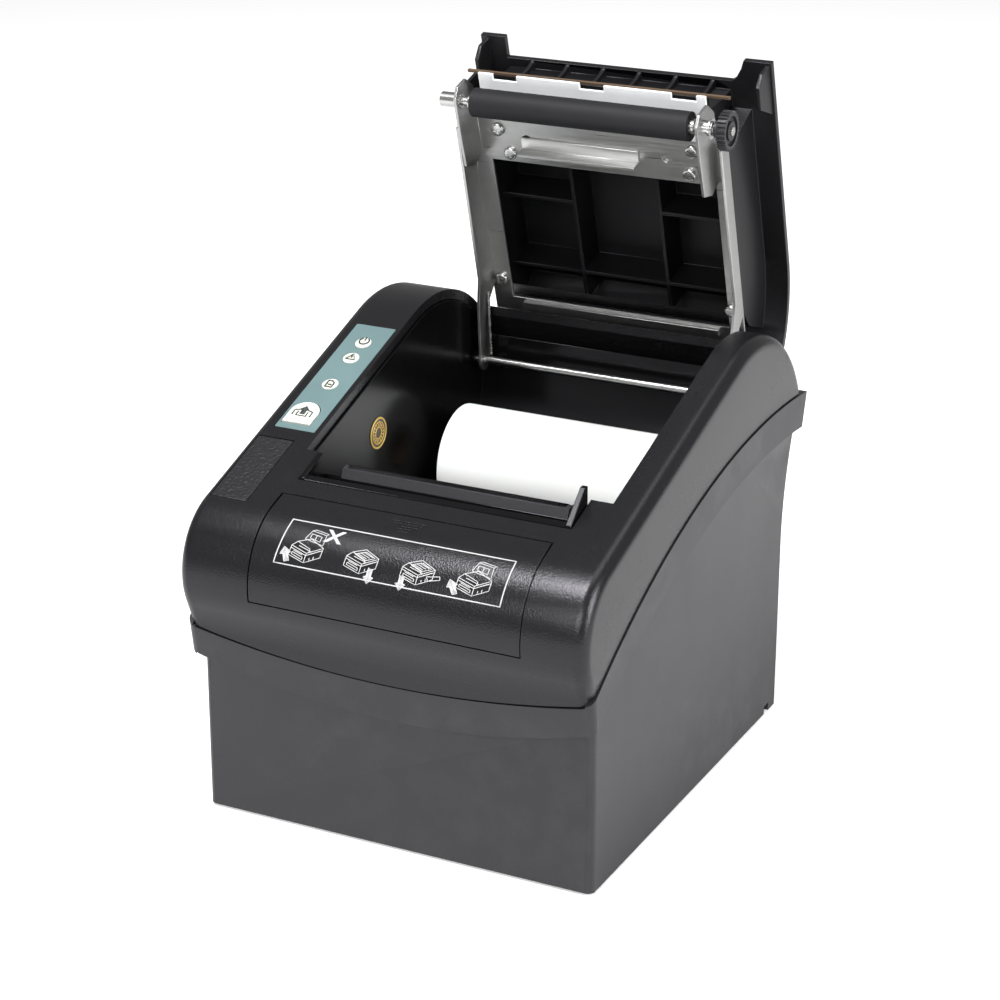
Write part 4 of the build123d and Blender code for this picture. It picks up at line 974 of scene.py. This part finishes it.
# ------------------------------------------------------------------ stage
FLOOR_HALF_WIDTH = 2.2
FLOOR_COLOUR = (0.9, 0.9, 0.9, 1.0)
WHITE = (1.0, 1.0, 1.0, 1.0)
FLOOR_GLOW = 0.36
WORLD_LIGHT, WORLD_SEEN = 0.3, 1.0
LIGHT_TARGET = (0.0, 0.0, 0.12)
# Name, place, width and height, power in watts.
LIGHTS = (
    ("Key light", (-0.25, -0.45, 1.3), (0.35, 0.4), 18.0),
    ("Front light", (0.1, -1.5, 0.9), (1.2, 0.5), 16.0),
    ("Right light", (1.5, -0.2, 0.7), (0.7, 0.9), 26.0),
    ("Top light", (0.3, 0.3, 1.7), (0.8, 0.8), 6.0),
)
SENSOR_WIDTH = 36.0
CLIP_NEAR, CLIP_FAR = 0.01, 50.0


def area_light(name, place, size, power):
    light = bpy.data.lights.new(name, "AREA")
    light.shape = "RECTANGLE"
    light.size, light.size_y = size
    light.energy = power
    lamp = bpy.data.objects.new(name, light)
    bpy.context.scene.collection.objects.link(lamp)
    lamp.location = place
    aim = Vector(LIGHT_TARGET) - Vector(place)
    lamp.rotation_euler = aim.to_track_quat("-Z", "Y").to_euler()


def camera_ray(tree):
    return node(tree, "ShaderNodeLightPath").outputs["Is Camera Ray"]


def add_floor():
    """A pale floor that glows a little to the camera only."""
    shape = bmesh.new()
    bmesh.ops.create_grid(shape, x_segments=1, y_segments=1, size=FLOOR_HALF_WIDTH)
    mesh = bpy.data.meshes.new("studio_floor")
    shape.to_mesh(mesh)
    shape.free()
    floor = bpy.data.objects.new("studio_floor", mesh)
    bpy.context.scene.collection.objects.link(floor)
    material, tree, shader = start_material("Studio floor", 0.9)
    shader.inputs["Base Color"].default_value = FLOOR_COLOUR
    shader.inputs["Emission Color"].default_value = WHITE
    glow = maths(tree, "MULTIPLY", camera_ray(tree), FLOOR_GLOW)
    tree.links.new(glow, shader.inputs["Emission Strength"])
    mesh.materials.append(material)


def add_world():
    """White to the camera, and dimmer as a light."""
    world = bpy.data.worlds.new("Studio")
    world.use_nodes = True
    tree = world.node_tree
    backdrop = tree.nodes["Background"]
    backdrop.inputs["Color"].default_value = WHITE
    strength = spread(tree, camera_ray(tree), 0.0, 1.0, WORLD_LIGHT, WORLD_SEEN)
    tree.links.new(strength, backdrop.inputs["Strength"])
    bpy.context.scene.world = world


def add_camera(settings):
    camera_data = bpy.data.cameras.new("Camera")
    camera_data.lens = settings.lens
    camera_data.sensor_width = SENSOR_WIDTH
    camera_data.clip_start = CLIP_NEAR
    camera_data.clip_end = CLIP_FAR
    camera = bpy.data.objects.new("Camera", camera_data)
    bpy.context.scene.collection.objects.link(camera)
    azimuth, elevation = settings.azimuth, settings.elevation
    away = Vector((
        math.sin(azimuth) * math.cos(elevation), -math.cos(azimuth) * math.cos(elevation),
        math.sin(elevation),
    ))
    roll = Matrix.Rotation(settings.roll, 4, "Z").to_quaternion()
    camera.rotation_euler = (away.to_track_quat("Z", "Y") @ roll).to_euler()
    camera.location = settings.camera_place
    bpy.context.scene.camera = camera


class PRINTER_OT_stage(bpy.types.Operator):
    """Pale floor, soft studio light and the camera"""
    bl_idname = "printer.stage"
    bl_label = "Stage"

    def execute(self, context):
        add_floor()
        add_world()
        for name, place, size, power in LIGHTS:
            area_light(name, place, size, power)
        add_camera(context.scene.printer_stage)
        context.scene.view_settings.view_transform = "Standard"
        return {"FINISHED"}


OPERATORS = (
    PRINTER_OT_mouldings,
    PRINTER_OT_cover_marks,
    PRINTER_OT_label_marks,
    PRINTER_OT_sticker_rings,
    PRINTER_OT_screws,
    PRINTER_OT_fittings,
    PRINTER_OT_stage,
)


class PRINTER_PT_panel(bpy.types.Panel):
    """Lists the printer's settings and the operators that build it"""
    bl_idname = "PRINTER_PT_panel"
    bl_label = "Receipt printer"
    bl_space_type = "VIEW_3D"
    bl_region_type = "UI"
    bl_category = "Receipt printer"

    def draw(self, context):
        scene = context.scene
        for group in (scene.printer_finish, scene.printer_marks, scene.printer_stage):
            box = self.layout.box()
            for name in group.__annotations__:
                box.prop(group, name)
        for operator in OPERATORS:
            self.layout.operator(operator.bl_idname)


CLASSES = (PrinterFinish, PrinterMarks, PrinterStage, *OPERATORS, PRINTER_PT_panel)


def register():
    for item in CLASSES:
        bpy.utils.register_class(item)
    bpy.types.Scene.printer_finish = PointerProperty(type=PrinterFinish)
    bpy.types.Scene.printer_marks = PointerProperty(type=PrinterMarks)
    bpy.types.Scene.printer_stage = PointerProperty(type=PrinterStage)


def unregister():
    del bpy.types.Scene.printer_stage
    del bpy.types.Scene.printer_marks
    del bpy.types.Scene.printer_finish
    for item in reversed(CLASSES):
        bpy.utils.unregister_class(item)


def main():
    register()
    build_materials()
    bpy.ops.printer.mouldings()
    bpy.ops.printer.cover_marks()
    bpy.ops.printer.label_marks()
    bpy.ops.printer.sticker_rings()
    bpy.ops.printer.screws()
    bpy.ops.printer.fittings()
    bpy.ops.printer.stage()


if __name__ == "__main__":
    main()
